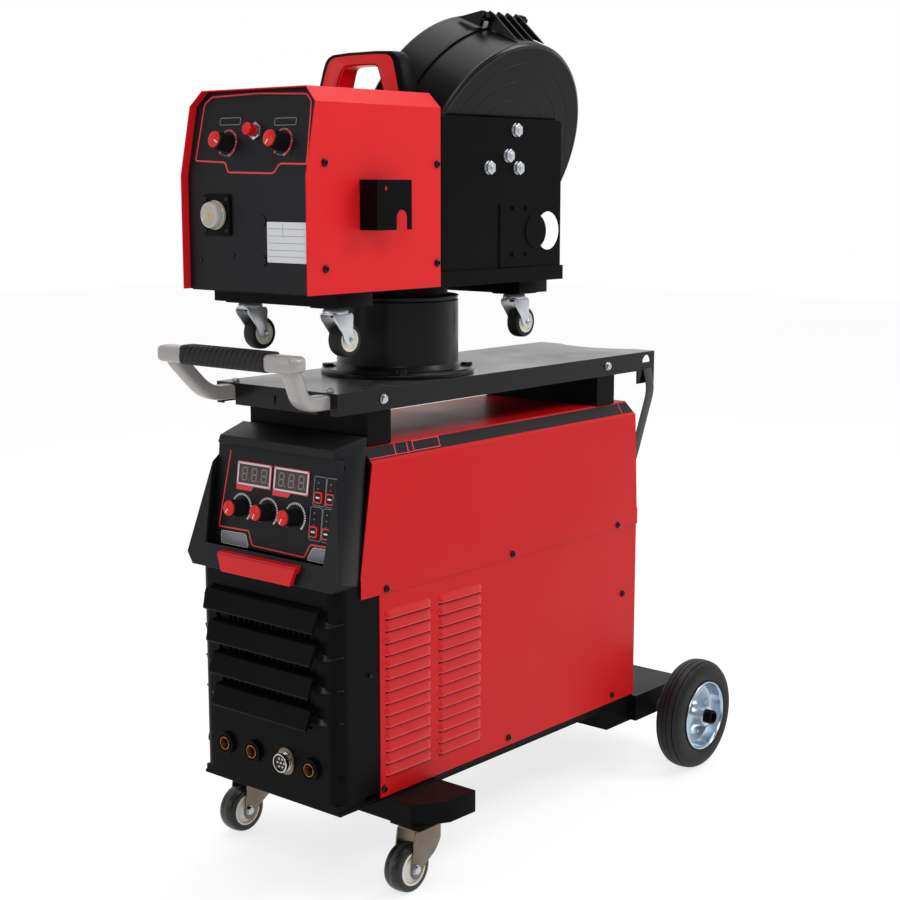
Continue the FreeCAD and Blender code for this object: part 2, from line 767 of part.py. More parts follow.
def build_top_cover():
    """The upper cover: a band over the side panels, a joggle, tapering sides and a roof."""
    band = "(case_half + gap + skin)"
    step = "(seam_height + band_height)"
    outer = [(band, "seam_height"), (band, step), ("case_half", f"{step} + joggle_height"),
             ("shoulder_half", "shoulder_height"), ("roof_half", "roof_height")]
    inner = [(f"{band} - skin", "seam_height"), (f"{band} - skin", step),
             ("case_half - skin", f"{step} + joggle_height"),
             ("shoulder_half - skin", "shoulder_height - skin / 2"),
             ("roof_half - skin / 2", "roof_height - skin")]
    edge = outer + [(f"-{x}", z) for x, z in reversed(outer)]
    edge += [(f"-({x})", z) for x, z in inner] + list(reversed(inner))
    cover = prism("cover_wrap", "xz", edge, "cover_front_low", "case_depth")
    slope = [("cover_front_low - 10", step), ("cover_front_low", step),
             ("cover_front_high", "shoulder_height"), ("cover_front_high + 3", "roof_height + 2"),
             ("cover_front_low - 10", "roof_height + 2")]
    knife = prism("cover_knife", "yz", slope, "-case_half - 5", "case_half + 5")
    keep(cut("top_cover", cover, knife), "top_cover")


def build_rear_panel():
    """The back of the case: a ringed fan guard, a boss for the mains switch and a cable gland."""
    edge = both([("case_half - skin - gap", "case_low + gap"), ("case_half - skin - gap", "seam_height"),
                 ("shoulder_half - skin - 1", "shoulder_height - 1"),
                 ("roof_half - 2", "roof_height - skin - 1")])
    sheet_body = prism("rear_sheet", "xz", edge, "case_depth - 2 * skin", "case_depth - skin")
    hole = rod("fan_hole", "fan_radius", "y", ("case_depth - 10", "case_depth + 10"), "0", "fan_height")
    switch_hole = rod("switch_hole", "switch_boss - 4", "y", ("case_depth - 10", "case_depth + 10"),
                      "switch_x", "switch_height")
    plate = cut("rear_plate", sheet_body, hole, switch_hole)
    guard = []
    for ring in range(4):
        reach = f"(fan_radius + 1 - {3 - ring} * fan_ring_pitch)"
        wide = rod("guard_ring", reach, "y", ("case_depth - 2 * skin", "case_depth - skin"),
                   "0", "fan_height")
        narrow = rod("guard_gap", f"{reach} - fan_ring_width", "y", ("case_depth - 10", "case_depth + 10"),
                     "0", "fan_height")
        guard.append(cut("guard_hoop", wide, narrow) if ring else wide)
    for turn in (0, 60, 120):
        spoke = doc.addObject("Part::Box", "guard_spoke")
        spoke.setExpression("Length", bound("2 * fan_radius"))
        spoke.setExpression("Width", bound("skin"))
        spoke.setExpression("Height", bound("fan_ring_width"))
        start = Vector(-number("fan_radius"), 0, -number("fan_ring_width / 2"))
        middle = Placement(Vector(), Rotation(Vector(0, 1, 0), turn)) * Placement(start, Rotation())
        spoke.Placement = middle
        base = middle.Base
        put(spoke, f"{base.x:.4f}", deep("case_depth - 2 * skin"),
            f"fan_height + {base.z:.4f}".replace("+ -", "- "))
        guard.append(spoke)
    motor = rod("fan_motor", "fan_hub", "y", ("case_depth - 24", "case_depth - 2 * skin"), "0", "fan_height")
    pin = rod("fan_pin", "fan_pin", "y", ("case_depth - 50", "case_depth - 20"), "0", "fan_height")
    boss = rod("switch_boss", "switch_boss", "y", ("case_depth - 2 * skin", "case_depth + 2"), "switch_x",
               "switch_height")
    boss_bore = rod("switch_bore", "switch_stem + running_gap", "y", ("case_depth - 10", "case_depth + 10"),
                    "switch_x", "switch_height")
    gland = rod("gland", "gland_radius", "y", ("case_depth - 2 * skin", "case_depth + 14"), "-switch_x",
                "switch_height")
    gland_bore = rod("gland_bore", "gland_bore", "y", ("case_depth - 10", "case_depth + 20"), "-switch_x",
                     "switch_height")
    whole = fuse("rear_fused", plate, *guard, motor, pin, boss, gland)
    keep(cut("rear_panel", whole, boss_bore, gland_bore), "rear_panel")


def build_inside():
    """What the closed case holds: the power module on its heat sink, and the fan's rotor."""
    base = box("sink_base", ("-95", "95"), ("60", "560"), ("case_low", "case_low + 30"))
    fins = [box("sink_fin", (f"{x} - 2", f"{x} + 2"), ("60", "560"), ("case_low + 29", "case_low + 130"))
            for x in range(-90, 91, 20)]
    module = box("module_case", ("-95", "95"), ("90", "530"), ("case_low + 129", "case_low + 190"))
    coil = box("output_coil", ("-60", "60"), ("120", "260"), ("case_low + 189", "case_low + 300"))
    keep(fuse("power_module", base, *fins, module, coil), "power_module")
    hub = rod("rotor_hub", "fan_hub", "y", ("case_depth - 48", "case_depth - 26"), "0", "fan_height")
    bore = rod("rotor_bore", "fan_pin + running_gap", "y", ("case_depth - 60", "case_depth"),
               "0", "fan_height")
    blades = []
    for number_of_blade in range(7):
        turn = 360 / 7 * number_of_blade
        blade = doc.addObject("Part::Box", "rotor_blade")
        blade.Length = 44
        blade.Width = 1.6
        blade.Height = 24
        pitch = Placement(Vector(16, -0.8, -12), Rotation(Vector(1, 0, 0), 50))
        way = Placement(Vector(), Rotation(Vector(0, 1, 0), turn)) * pitch
        blade.Placement = way
        put(blade, f"{way.Base.x:.4f}", deep(f"case_depth - 37 + {way.Base.y + 10:.4f}"),
            f"fan_height + {way.Base.z:.4f}".replace("+ -", "- "))
        blades.append(blade)
    keep(cut("fan_rotor", fuse("rotor_blank", hub, *blades), bore), "fan_rotor")
    stem = rod("switch_stem", "switch_stem", "y", ("case_depth - 6", "case_depth + 6"), "switch_x",
               "switch_height")
    lever = box("switch_bar", ("switch_x - switch_stem", "switch_x + switch_stem"),
                ("case_depth + 4", "case_depth + 16"),
                ("switch_height - switch_bar / 2", "switch_height + switch_bar / 2"))
    keep(fuse("switch_lever", stem, lever), "switch_lever")


def build_grille():
    """The moulded lower front: rounded corners, a window with slanting slats, socket bosses."""
    edge = [("grille_half", "0"), ("grille_half", "grille_front"),
            ("-grille_half", "grille_front"), ("-grille_half", "0")]
    shell = prism("grille_outer", "xy", edge, "grille_low", "grille_high")
    front = number(deep("grille_front"))

    def corners(edge_found):
        return along("z")(edge_found) and abs(edge_found.Vertexes[0].Point.y - front) < 1

    rounded(shell, "grille_corner", corners)
    inset = [("grille_half - wall", "1"), ("grille_half - wall", "grille_front + wall"),
             ("-(grille_half - wall)", "grille_front + wall"), ("-(grille_half - wall)", "1")]
    hollow = prism("grille_hollow", "xy", inset, "grille_low + wall", "grille_high - wall")
    back = number(deep("grille_front + wall"))

    def inner_corners(edge_found):
        return along("z")(edge_found) and abs(edge_found.Vertexes[0].Point.y - back) < 1

    rounded(hollow, "grille_corner - wall", inner_corners)
    window = prism("intake_window", "xz", both([("intake_high_half - intake_lap", "intake_high"),
                                                ("intake_low_half - intake_lap", "intake_low")]),
                   "grille_front - 1", "grille_front + wall + 1")
    pieces = [cut("grille_shell", shell, hollow, window)]
    knives = []
    for side in ("", "-"):
        edge = [(f"{side}(intake_high_half)", "intake_high"), (f"{side}(intake_low_half)", "intake_low - 20"),
                (f"{side}(intake_high_half + 40)", "intake_low - 20"),
                (f"{side}(intake_high_half + 40)", "intake_high")]
        knives.append(prism("slat_knife", "xz", edge, "grille_front - slat_reach - 5", "grille_front + 1"))
    lip, reach = "grille_front - slat_lip", "grille_front - slat_reach"
    for index in range(int(number("slats"))):
        top = f"(slat_top - {index} * slat_pitch)"
        low = f"({top} - slat_height)"
        awning = [("grille_front + 2", f"{top} + 3"), (f"{lip} + 2", f"{top} + 1"), (lip, f"{top} - 2"),
                  (reach, f"{low} + 4"), (f"{reach} + 1", f"{low} + 1"), (f"{reach} + slat_thickness", low),
                  (f"{reach} + slat_thickness + 1", f"{low} + 3"),
                  (f"{lip} + slat_thickness + 1", f"{top} - slat_thickness"),
                  ("grille_front + 2", f"{top} - slat_thickness + 1")]
        blade = prism("slat", "yz", awning, "-intake_high_half", "intake_high_half")
        pieces.append(cut("slat_tapered", blade, *knives))
    bores = []
    for place in ("socket_left", "socket_inner", "socket_right"):
        pieces.append(rod("socket_boss", "boss_radius", "y", ("grille_front - 4", "grille_front + 30"),
                          place, "socket_height"))
        bores.append(rod("socket_hole", "socket_radius + gap", "y",
                         ("grille_front - 10", "grille_front + 40"), place, "socket_height"))
    bores.append(rod("connector_hole", "connector_radius - 3 + gap", "y",
                     ("grille_front - 10", "grille_front + 40"), "connector_x", "socket_height"))
    moulding = cut("grille_moulding", fuse("grille_fused", *pieces), *bores)
    back = "grille_front + wall + gap"
    screen = box("screen_sheet", ("-intake_high_half - 6", "intake_high_half + 6"),
                 (back, f"{back} + screen_sheet"), ("intake_low - 6", "intake_high + 6"))
    slots = []
    count = int(number("intake_low_half / screen_pitch"))
    for index in range(-count + 1, count):
        place = f"({index} * screen_pitch)"
        slots.append(box("screen_slot", (f"{place} - screen_slot / 2", f"{place} + screen_slot / 2"),
                         (f"{back} - 1", f"{back} + screen_sheet + 1"),
                         ("intake_low + 4", "intake_high - 4")))
    studs = [rod("screen_stud", "3", "y", ("grille_front + wall", f"{back} + screen_sheet"), x, z)
             for x in ("intake_high_half + 2", "-intake_high_half - 2")
             for z in ("intake_low", "intake_high")]
    dust_screen = cut("dust_screen", fuse("screen_whole", screen, *studs), *slots)
    keep(group("front_grille", moulding, dust_screen), "front_grille")
    sockets = []
    for place in ("socket_left", "socket_inner", "socket_right"):
        brass = rod("socket_brass", "socket_radius", "y", ("grille_front - 7", "grille_front + 28"),
                    place, "socket_height")
        flange = rod("socket_flange", "socket_radius + 2.5", "y", ("grille_front - 7", "grille_front - 4"),
                     place, "socket_height")
        bore = rod("socket_bore", "socket_bore", "y", ("grille_front - 10", "grille_front + 24"),
                   place, "socket_height")
        sockets.append(cut("socket", fuse("socket_blank", brass, flange), bore))
    collar = rod("connector_collar", "connector_radius", "y", ("grille_front - 14", "grille_front"),
                 "connector_x", "socket_height")
    flange = box("connector_flange", ("connector_x - 17", "connector_x + 17"),
                 ("grille_front - 3", "grille_front"), ("socket_height - 17", "socket_height + 17"))
    stem = rod("connector_stem", "connector_radius - 3", "y", ("grille_front - 1", "grille_front + 20"),
               "connector_x", "socket_height")
    mouth = rod("connector_mouth", "connector_radius - 3", "y", ("grille_front - 20", "grille_front - 5"),
                "connector_x", "socket_height")
    pins = [rod("connector_pin", "1.2", "y", ("grille_front - 12", "grille_front - 4"), "connector_x",
                "socket_height")]
    for turn in range(0, 360, 60):
        aside, above = 6.5 * cos(radians(turn)), 6.5 * sin(radians(turn))
        pins.append(rod("connector_pin", "1.2", "y", ("grille_front - 12", "grille_front - 4"),
                        f"connector_x + {aside:.3f}".replace("+ -", "- "),
                        f"socket_height + {above:.3f}".replace("+ -", "- ")))
    connector = fuse("connector", cut("connector_shell", fuse("connector_blank", collar, flange, stem),
                                      mouth), *pins)
    keep(group("front_sockets", *sockets, connector), "front_sockets")


def solid_of(faces):
    """A solid from flat faces, each a list of corners."""
    made = [Part.Face(Part.makePolygon([*corners, corners[0]])) for corners in faces]
    solid = Part.Solid(Part.makeShell(made))
    if solid.Volume < 0:
        solid.reverse()
    return solid.removeSplitter()


def hood_solid(inset):
    """The hood's outer form, or the same form drawn in by a wall to hollow it from behind."""
    middle = number(MIDDLE)

    def corner(half, front, height, side, depth_in=0, low_in=0):
        return Vector(side * (number(half) - inset), number(front) - middle + depth_in,
                      number(height) + low_in)

    slope = (number("brow_front") - number("cheek_front")) / (number("brow_height") - number("cheek_height"))
    chin_front = number("cheek_front") - slope * (number("cheek_height") - number("grille_high"))
    right, left = {}, {}
    reach = 8 if inset else 0
    for side, found in ((1, right), (-1, left)):
        found["brow"] = corner("brow_half", "brow_front", "brow_height", side, inset, -inset)
        found["crest"] = corner("crest_half", "crest_front", "crest_height", side, reach, -inset)
        found["cheek"] = corner("cheek_half", "cheek_front", "cheek_height", side, inset, 0)
        found["chin"] = Vector(side * (number("chin_half") - inset), chin_front - middle + inset,
                               number("grille_high") + (-1 if inset else 0))
        found["root"] = Vector(side * (number("case_half") - number("skin") - 1 - inset),
                               number("cover_front_low") - middle + reach,
                               number("grille_high") + (-1 if inset else 0))
    faces = [[left["brow"], right["brow"], right["crest"], left["crest"]],
             [left["brow"], left["cheek"], right["cheek"], right["brow"]],
             [left["cheek"], left["chin"], right["chin"], right["cheek"]],
             [left["chin"], left["root"], right["root"], right["chin"]],
             [left["root"], left["crest"], right["crest"], right["root"]]]
    for found in (left, right):
        faces.append([found["brow"], found["crest"], found["cheek"]])
        faces.append([found["cheek"], found["crest"], found["root"]])
        faces.append([found["cheek"], found["root"], found["chin"]])
    return solid_of(faces)


# The two panels that lean back: where the lower edge of each face is, and by how much it leans.
FASCIA = ("panel_front", "panel_height", "panel_lean")
FEEDER_FACE = ("feeder_brim + front_set_back", "feeder_knee_height", "feeder_lean")


def lean(thing, x="0", out="0", rise="0", turn=None, face=FASCIA):
    """Places a thing on a leaning panel: out from its face and up along it."""
    front, height, angle = face
    y = f"{deep(front)} - ({out}) * cos({angle}) + ({rise}) * sin({angle})"
    z = f"{height} + ({out}) * sin({angle}) + ({rise}) * cos({angle})"
    tilt = Rotation(Vector(1, 0, 0), -number(angle))
    return put(thing, x, y, z, tilt * turn if turn else tilt)


def build_hood():
    """The hood: a brow and cheeks that frame the control panel and hand over to the red cover."""
    outer = doc.addObject("Part::Feature", "hood_outer")
    outer.Shape = hood_solid(0)
    inner = doc.addObject("Part::Feature", "hood_inner")
    inner.Shape = hood_solid(number("hood_wall"))
    mouth = prism_on_panel("hood_mouth", [("panel_top_half", "panel_rise"),
                                          ("panel_bottom_half", "-panel_fall")], "-6", "60")
    keep(cut("front_hood", outer, inner, mouth), "front_hood")


def prism_on_panel(name, half_outline, low, high):
    """A body padded out from the control panel's plane, symmetrical about the middle."""
    body = doc.addObject("PartDesign::Body", name)
    outline = sketch(body, name + "_outline", "xz", both(half_outline), low)
    pad = body.newObject("PartDesign::Pad", name + "_pad")
    pad.Profile = outline
    pad.setExpression("Length", bound(f"({high}) - ({low})"))
    body.Tip = pad
    doc.recompute()
    return lean(body)


# The keys' places on the panel, and the number of flutes round a knob.
KEYS = [("89.6", "13.5"), ("113.8", "13.5"), ("84.8", "-37.4"), ("111.1", "-37.4")]
FLUTES = 10


def build_control_panel():
    """The fascia with its two display windows, three knobs and four keys."""
    sheet_body = prism_on_panel("fascia", [("panel_top_half - gap", "panel_rise - gap"),
                                           ("panel_bottom_half - gap", "-panel_fall + gap")],
                                "-panel_sheet", "0")
    holes = []
    for place in ("knob_left", "knob_middle", "knob_right"):
        hole = doc.addObject("Part::Cylinder", "shaft_hole")
        hole.setExpression("Radius", bound("shaft_radius + running_gap"))
        hole.Height = 20
        holes.append(lean(hole, place, "-10", "knob_row", UPRIGHT["y"].inverted()))
    for x, rise in KEYS:
        hole = doc.addObject("Part::Box", "key_hole")
        for side in ("Length", "Height"):
            hole.setExpression(side, bound("key_width + 2 * gap"))
        hole.Width = 20
        holes.append(lean(hole, f"{x} - key_width / 2 - gap", "10", f"{rise} - key_width / 2 - gap"))
    windows = []
    for x in ("display_left", "display_right"):
        frame = doc.addObject("Part::Box", "display")
        frame.setExpression("Length", bound("display_width"))
        frame.setExpression("Height", bound("display_height"))
        frame.setExpression("Width", bound("2 * display_proud"))
        windows.append(lean(frame, f"{x} - display_width / 2", "display_proud",
                            "display_row - display_height / 2"))
    backing = doc.addObject("Part::Box", "circuit_board")
    backing.setExpression("Length", bound("2 * board_half"))
    backing.setExpression("Height", bound("board_height"))
    backing.setExpression("Width", bound("skin"))
    lean(backing, "-board_half", "-panel_sheet - board_room", "-board_drop")
    posts = []
    for x in ("-board_half + 3 * board_post", "board_half - 3 * board_post"):
        for rise in ("-board_drop + 3 * board_post", "board_height - board_drop - 3 * board_post"):
            post = doc.addObject("Part::Cylinder", "board_post")
            post.setExpression("Radius", bound("board_post"))
            post.setExpression("Height", bound("board_room + skin"))
            posts.append(lean(post, x, "-panel_sheet - board_room - skin / 2", rise, UPRIGHT["y"].inverted()))
    whole = fuse("fascia_fused", sheet_body, *windows, backing, *posts)
    keep(cut("control_panel", whole, *holes), "control_panel")
    for name, place in (("current", "knob_left"), ("voltage", "knob_middle"), ("arc", "knob_right")):
        keep(knob(f"knob_{name}", "knob_radius", "knob_length", place), f"knob_{name}")
    for index, (x, rise) in enumerate(KEYS, start=1):
        key = doc.addObject("PartDesign::Body", "key")
        half = "key_width / 2"
        outline = sketch(key, "key_outline", "xz", both([(half, half), (half, f"-{half}")]),
                         "-panel_sheet - 2")
        pad = key.newObject("PartDesign::Pad", "key_pad")
        pad.Profile = outline
        pad.setExpression("Length", bound("panel_sheet + 2 + key_proud"))
        key.Tip = pad
        doc.recompute()
        rounded(key, "3", along("y"))
        keep(lean(key, x, "0", rise), f"panel_key_{index}")




def knob(name, radius, length, x, rise="knob_row", face=FASCIA):
    """A knob on its shaft, with a ring of shallow flutes."""
    profile = [("0", "-12"), ("shaft_radius", "-12"), ("shaft_radius", "knob_foot"), (radius, "knob_foot"),
               (f"{radius} - 1", f"{length} - 2"), (f"{radius} - 3", length), ("0", length)]
    blank = doc.addObject("PartDesign::Body", name + "_blank")
    section = sketch(blank, name + "_section", "xz", profile)
    spin = blank.newObject("PartDesign::Revolution", name + "_turning")
    spin.Profile = section
    spin.ReferenceAxis = (section, ["V_Axis"])
    blank.Tip = spin
    flutes = []
    for index in range(FLUTES):
        flute = doc.addObject("Part::Cylinder", name + "_flute")
        flute.setExpression("Radius", bound("flute_radius"))
        flute.setExpression("Height", bound(f"{length} + 5"))
        angle = 360 / FLUTES * index
        put(flute, f"({radius} + 1) * cos({angle:.1f})", f"({radius} + 1) * sin({angle:.1f})", "4")
        flutes.append(flute)
    whole = cut(name, blank, *flutes)
    return lean(whole, x, "0", rise, UPRIGHT["y"].inverted(), face)


def build_wedge():
    """The bare red wedge under the control panel."""
    block = prism("wedge_block", "yz",
                  [("wedge_front", "wedge_low"), ("wedge_front + 2", "wedge_high - 3"),
                   ("wedge_front + 5", "wedge_high"), ("panel_front - 12", "wedge_high + 3"),
                   ("panel_front - 12", "wedge_high - 6"), ("cheek_front - 3.6", "cheek_height + 2"),
                   ("cheek_front - 4", "wedge_low")],
                  "-wedge_high_half", "wedge_high_half")
    knives = []
    for side in ("", "-"):
        corner = [(f"{side}(wedge_low_half)", "wedge_low - 1"), (f"{side}(wedge_high_half + 1)", "wedge_high"),
                  (f"{side}(wedge_high_half + 20)", "wedge_high"),
                  (f"{side}(wedge_high_half + 20)", "wedge_low - 1")]
        knives.append(prism("wedge_knife", "xz", corner, "wedge_front - 10", "panel_front"))
    keep(cut("trim_wedge", block, *knives, doc.getObject("hood_outer")), "trim_wedge")


def build_tray():
    """The tray over the case: side flanges, drilled ears at the back and a cut-out for a bottle."""
    top = box("tray_top", ("-tray_half", "tray_half"), ("tray_front", "tray_rear"),
              ("tray_top - plate", "tray_top"))
    pieces = [top]
    for low, high in (("-tray_half", "-tray_half + plate"), ("tray_half - plate", "tray_half")):
        profile = [("tray_front", "tray_top"), ("tray_front", "tray_top - tray_flange"),
                   ("tray_rear - ear_length", "tray_top - tray_flange"),
                   ("tray_rear - ear_length", "tray_top - ear_drop"),
                   ("tray_rear", "tray_top - ear_drop"), ("tray_rear", "tray_top")]
        pieces.append(prism("tray_side", "yz", profile, low, high))
    pieces.append(box("tray_front_flange", ("-tray_half", "tray_half"),
                      ("tray_front", "tray_front + plate"), ("tray_top - tray_flange", "tray_top")))
    bite = rod("bottle_bite", "cutout_radius", "z", ("tray_top - 20", "tray_top + 20"), "0",
               "tray_rear + cutout_radius - cutout_depth")
    holes = []
    for x in ("arm_middle", "-arm_middle"):
        holes.append(rod("handle_bolt_hole", "bolt_radius + gap", "z", ("tray_top - 20", "tray_top + 20"),
                         x, "foot_bolt"))
        notch = ("%s - arm_width / 2 - gap" % x, "%s + arm_width / 2 + gap" % x)
        holes.append(box("arm_notch", notch, ("tray_front - 1", "tray_front + plate + 1"),
                         ("tray_top - tray_flange - 1", "tray_top - plate")))
    moon = rod("ear_moon", "moon_radius", "x", ("-tray_half - 9", "tray_half + 9"), "tray_rear - 25",
               "tray_top - 19")
    half_moon = cut("half_moon", moon, box("moon_base", ("-tray_half - 9", "tray_half + 9"),
                                           ("tray_rear - 60", "tray_rear"),
                                           ("tray_top - 60", "tray_top - 19")))
    small = rod("ear_hole", "ear_hole", "x", ("-tray_half - 9", "tray_half + 9"), "tray_rear - 24",
                "tray_top - 43")
    slit = box("flange_slit", ("-2", "2"), ("tray_front - 1", "tray_front + plate + 1"),
               ("tray_top - 24", "tray_top - 12"))
    keep(cut("tray", fuse("tray_fused", *pieces), bite, *holes, half_moon, small, slit), "tray")
    legs = []
    for place in ("leg_front", "leg_rear"):
        half = "(tray_half - plate - gap)"
        outer = box("leg_outer", (f"-{half}", half), (place, f"{place} + leg_width"),
                    ("roof_height", "tray_top - plate"))
        inner = box("leg_inner", (f"-{half} + plate", f"{half} - plate"),
                    (f"{place} + plate", f"{place} + leg_width + 1" if place == "leg_rear"
                     else f"{place} + leg_width - plate"),
                    ("roof_height + plate", "tray_top - 2 * plate"))
        legs.append(cut("tray_leg", outer, inner))
    keep(group("tray_legs", *legs), "tray_legs")


def build_handle():
    """The cast push handle: a rounded bar, and two arms that sweep down and in to feet under the tray."""
    bar = box_body("handle_bar", ("-handle_half", "handle_half"),
                   ("grip_front + grip_wall", "grip_front + bar_depth"), ("bar_low", "bar_high"))
    rounded(bar, "14", along("z"))
    rounded(bar, "5", round_ring("bar_low", "bar_high"))
    rear, toe = "grip_front + bar_depth - 1", "foot_front - toe_reach"
    joint, foot_top = "bar_low + 4", "tray_top - plate"
    side_view = [(f"{rear} - arm_depth", joint), (rear, joint), ("foot_front + 1", foot_top),
                 ("foot_front + foot_length", foot_top), ("foot_front + foot_length", "foot_low"),
                 ("foot_front - 2", "foot_low"), (toe, f"{foot_top} - 2")]
    sweep = prism("arm_sweep", "yz", side_view, "-handle_half", "handle_half")
    rounded(sweep, "toe_radius", toe_edges)
    front_view = [("arm_outer_high", joint), ("arm_outer_low", foot_top), ("arm_outer_low", "foot_low"),
                  ("arm_outer_low - arm_width", "foot_low"), ("arm_outer_low - arm_width", foot_top),
                  ("arm_outer_high - arm_width", joint)]
    spread = prism("arm_spread", "xz", front_view, f"{rear} - arm_depth - 5", "foot_front + foot_length")
    arm = doc.addObject("Part::MultiCommon", "handle_arm")
    arm.Shapes = [sweep, spread]
    pieces = [bar, arm, mirror("handle_arm_mirrored", arm)]
    doc.recompute()
    holes = [rod("foot_hole", "bolt_radius + gap", "z", ("foot_low - 9", "tray_top"), x, "foot_bolt")
             for x in ("arm_middle", "-arm_middle")]
    keep(cut("push_handle", fuse("handle_fused", *pieces), *holes), "push_handle")
    sleeve = box_body("grip_block", ("-grip_half", "grip_half"),
                      ("grip_front", "grip_front + bar_depth + grip_wall"),
                      ("bar_low - grip_wall", "bar_high + grip_wall + 2"))
    rounded(sleeve, "6", along("x"))
    core = box_body("grip_core", ("-grip_half - 1", "grip_half + 1"),
                    ("grip_front + grip_wall - 0.01", "grip_front + bar_depth + 0.01"),
                    ("bar_low - 0.01", "bar_high + 0.01"))
    rounded(core, "5.01", along("x"))
    grooves = []
    count = int(number("grip_half / groove_pitch"))
    for index in range(-count, count + 1):
        middle = f"({index} * groove_pitch)"
        grooves.append(box("grip_groove", (f"{middle} - groove_width / 2", f"{middle} + groove_width / 2"),
                           ("grip_front - 1", "grip_front + bar_depth + 5"),
                           ("bar_high + grip_wall + 1", "bar_high + grip_wall + 5")))
    keep(cut("handle_grip", sleeve, core, *grooves), "handle_grip")


def toe_edges(edge):
    """A test for the arm's edges at the toe, in front of the foot and under the tray's top."""
    place = edge.Vertexes[0].Point
    front = number(deep("foot_front + 5"))
    return along("x")(edge) and place.y < front and place.z < number("tray_top - plate + 1")


def box_body(name, x, y, z):
    """A block as a body, for edges that are rounded."""
    return prism(name, "xz", [(x[0], z[0]), (x[1], z[0]), (x[1], z[1]), (x[0], z[1])], y[0], y[1])


def round_ring(low, high):
    """A test for the edges round the bottom and the top of a bar."""
    heights = (number(low), number(high))

    def pick(edge):
        return all(any(abs(vertex.Point.z - height) < 0.01 for height in heights)
                   for vertex in edge.Vertexes) and abs(edge.BoundBox.ZLength) < 0.01

    return pick


def build_strap():
    """The webbing strap that hangs from the tray's ears in one deep loop."""
    half = "tray_half + gap + strap_thickness"
    edge = "tray_half + gap"
    thick = "strap_thickness"
    outer = [(half, "tray_top - strap_top_drop"),
             ("tray_half + strap_swell", "tray_top - strap_swell_drop"),
             ("tray_half - strap_bend_inset", "strap_low + strap_bend_rise"),
             ("tray_half - strap_turn_inset", "strap_low + strap_turn_rise"),
             ("strap_floor_half", "strap_low")]
    inner = [(edge, "tray_top - strap_top_drop"),
             (f"tray_half + strap_swell - {thick}", f"tray_top - strap_swell_drop + {thick} * 0.4"),
             (f"tray_half - strap_bend_inset - {thick}", f"strap_low + strap_bend_rise + {thick} * 0.6"),
             (f"tray_half - strap_turn_inset - {thick} * 0.6",
              f"strap_low + strap_turn_rise + {thick} * 0.8"),
             (f"strap_floor_half - {thick} * 0.4", f"strap_low + {thick}")]
    loop = outer + [(f"-({x})", z) for x, z in reversed(outer)]
    loop += [(f"-({x})", z) for x, z in inner] + list(reversed(inner))
    strap_rear = "tray_rear - strap_inset"
    keep(prism("strap_loop", "xz", loop, f"{strap_rear} - strap_width", strap_rear), "bottle_strap")


def build_pedestal():
    """The turned pedestal on the tray, with its flange, gussets and the bore that the feeder turns in."""
    base = "tray_top"
    profile = [("pivot_radius + running_gap", base), ("pedestal_flange", base),
               ("pedestal_flange", f"{base} + 6"), ("pedestal_flange - 4", f"{base} + pedestal_foot"),
               ("pedestal_radius + 6", f"{base} + pedestal_foot"),
               ("pedestal_radius", f"{base} + pedestal_foot + 8"),
               ("pedestal_radius", f"{base} + pedestal_height + 4"),
               ("pedestal_radius - 1.5", f"{base} + pedestal_height + 5"),
               ("pedestal_radius - 1.5", f"{base} + pedestal_height + 7"),
               ("pedestal_radius", f"{base} + pedestal_height + 8"),
               ("pedestal_radius", "boss_low - gap"), ("pivot_radius + running_gap", "boss_low - gap"),
               ("pivot_radius + running_gap", "boss_low - gap - 40"),
               ("pivot_radius + 12", "boss_low - gap - 40"), ("pivot_radius + 12", "boss_low - gap - 8"),
               ("pedestal_radius - 5", "boss_low - gap - 8"), ("pedestal_radius - 5", f"{base} + 6"),
               ("pivot_radius + running_gap", f"{base} + 6")]
    drum = turned("pedestal_drum", profile, "z", "0", "pivot", "0")
    lugs = [drum]
    for turn in (45, 135, 225, 315):
        lug = doc.addObject("Part::Cylinder", "pedestal_lug")
        lug.setExpression("Radius", bound("lug_radius"))
        lug.setExpression("Height", bound("lug_height"))
        circle = "(pedestal_flange - lug_radius - 2)"
        put(lug, f"{circle} * cos({turn})", deep(f"pivot + {circle} * sin({turn})"), base)
        lugs.append(lug)
    keep(fuse("pedestal", *lugs), "pedestal_base")


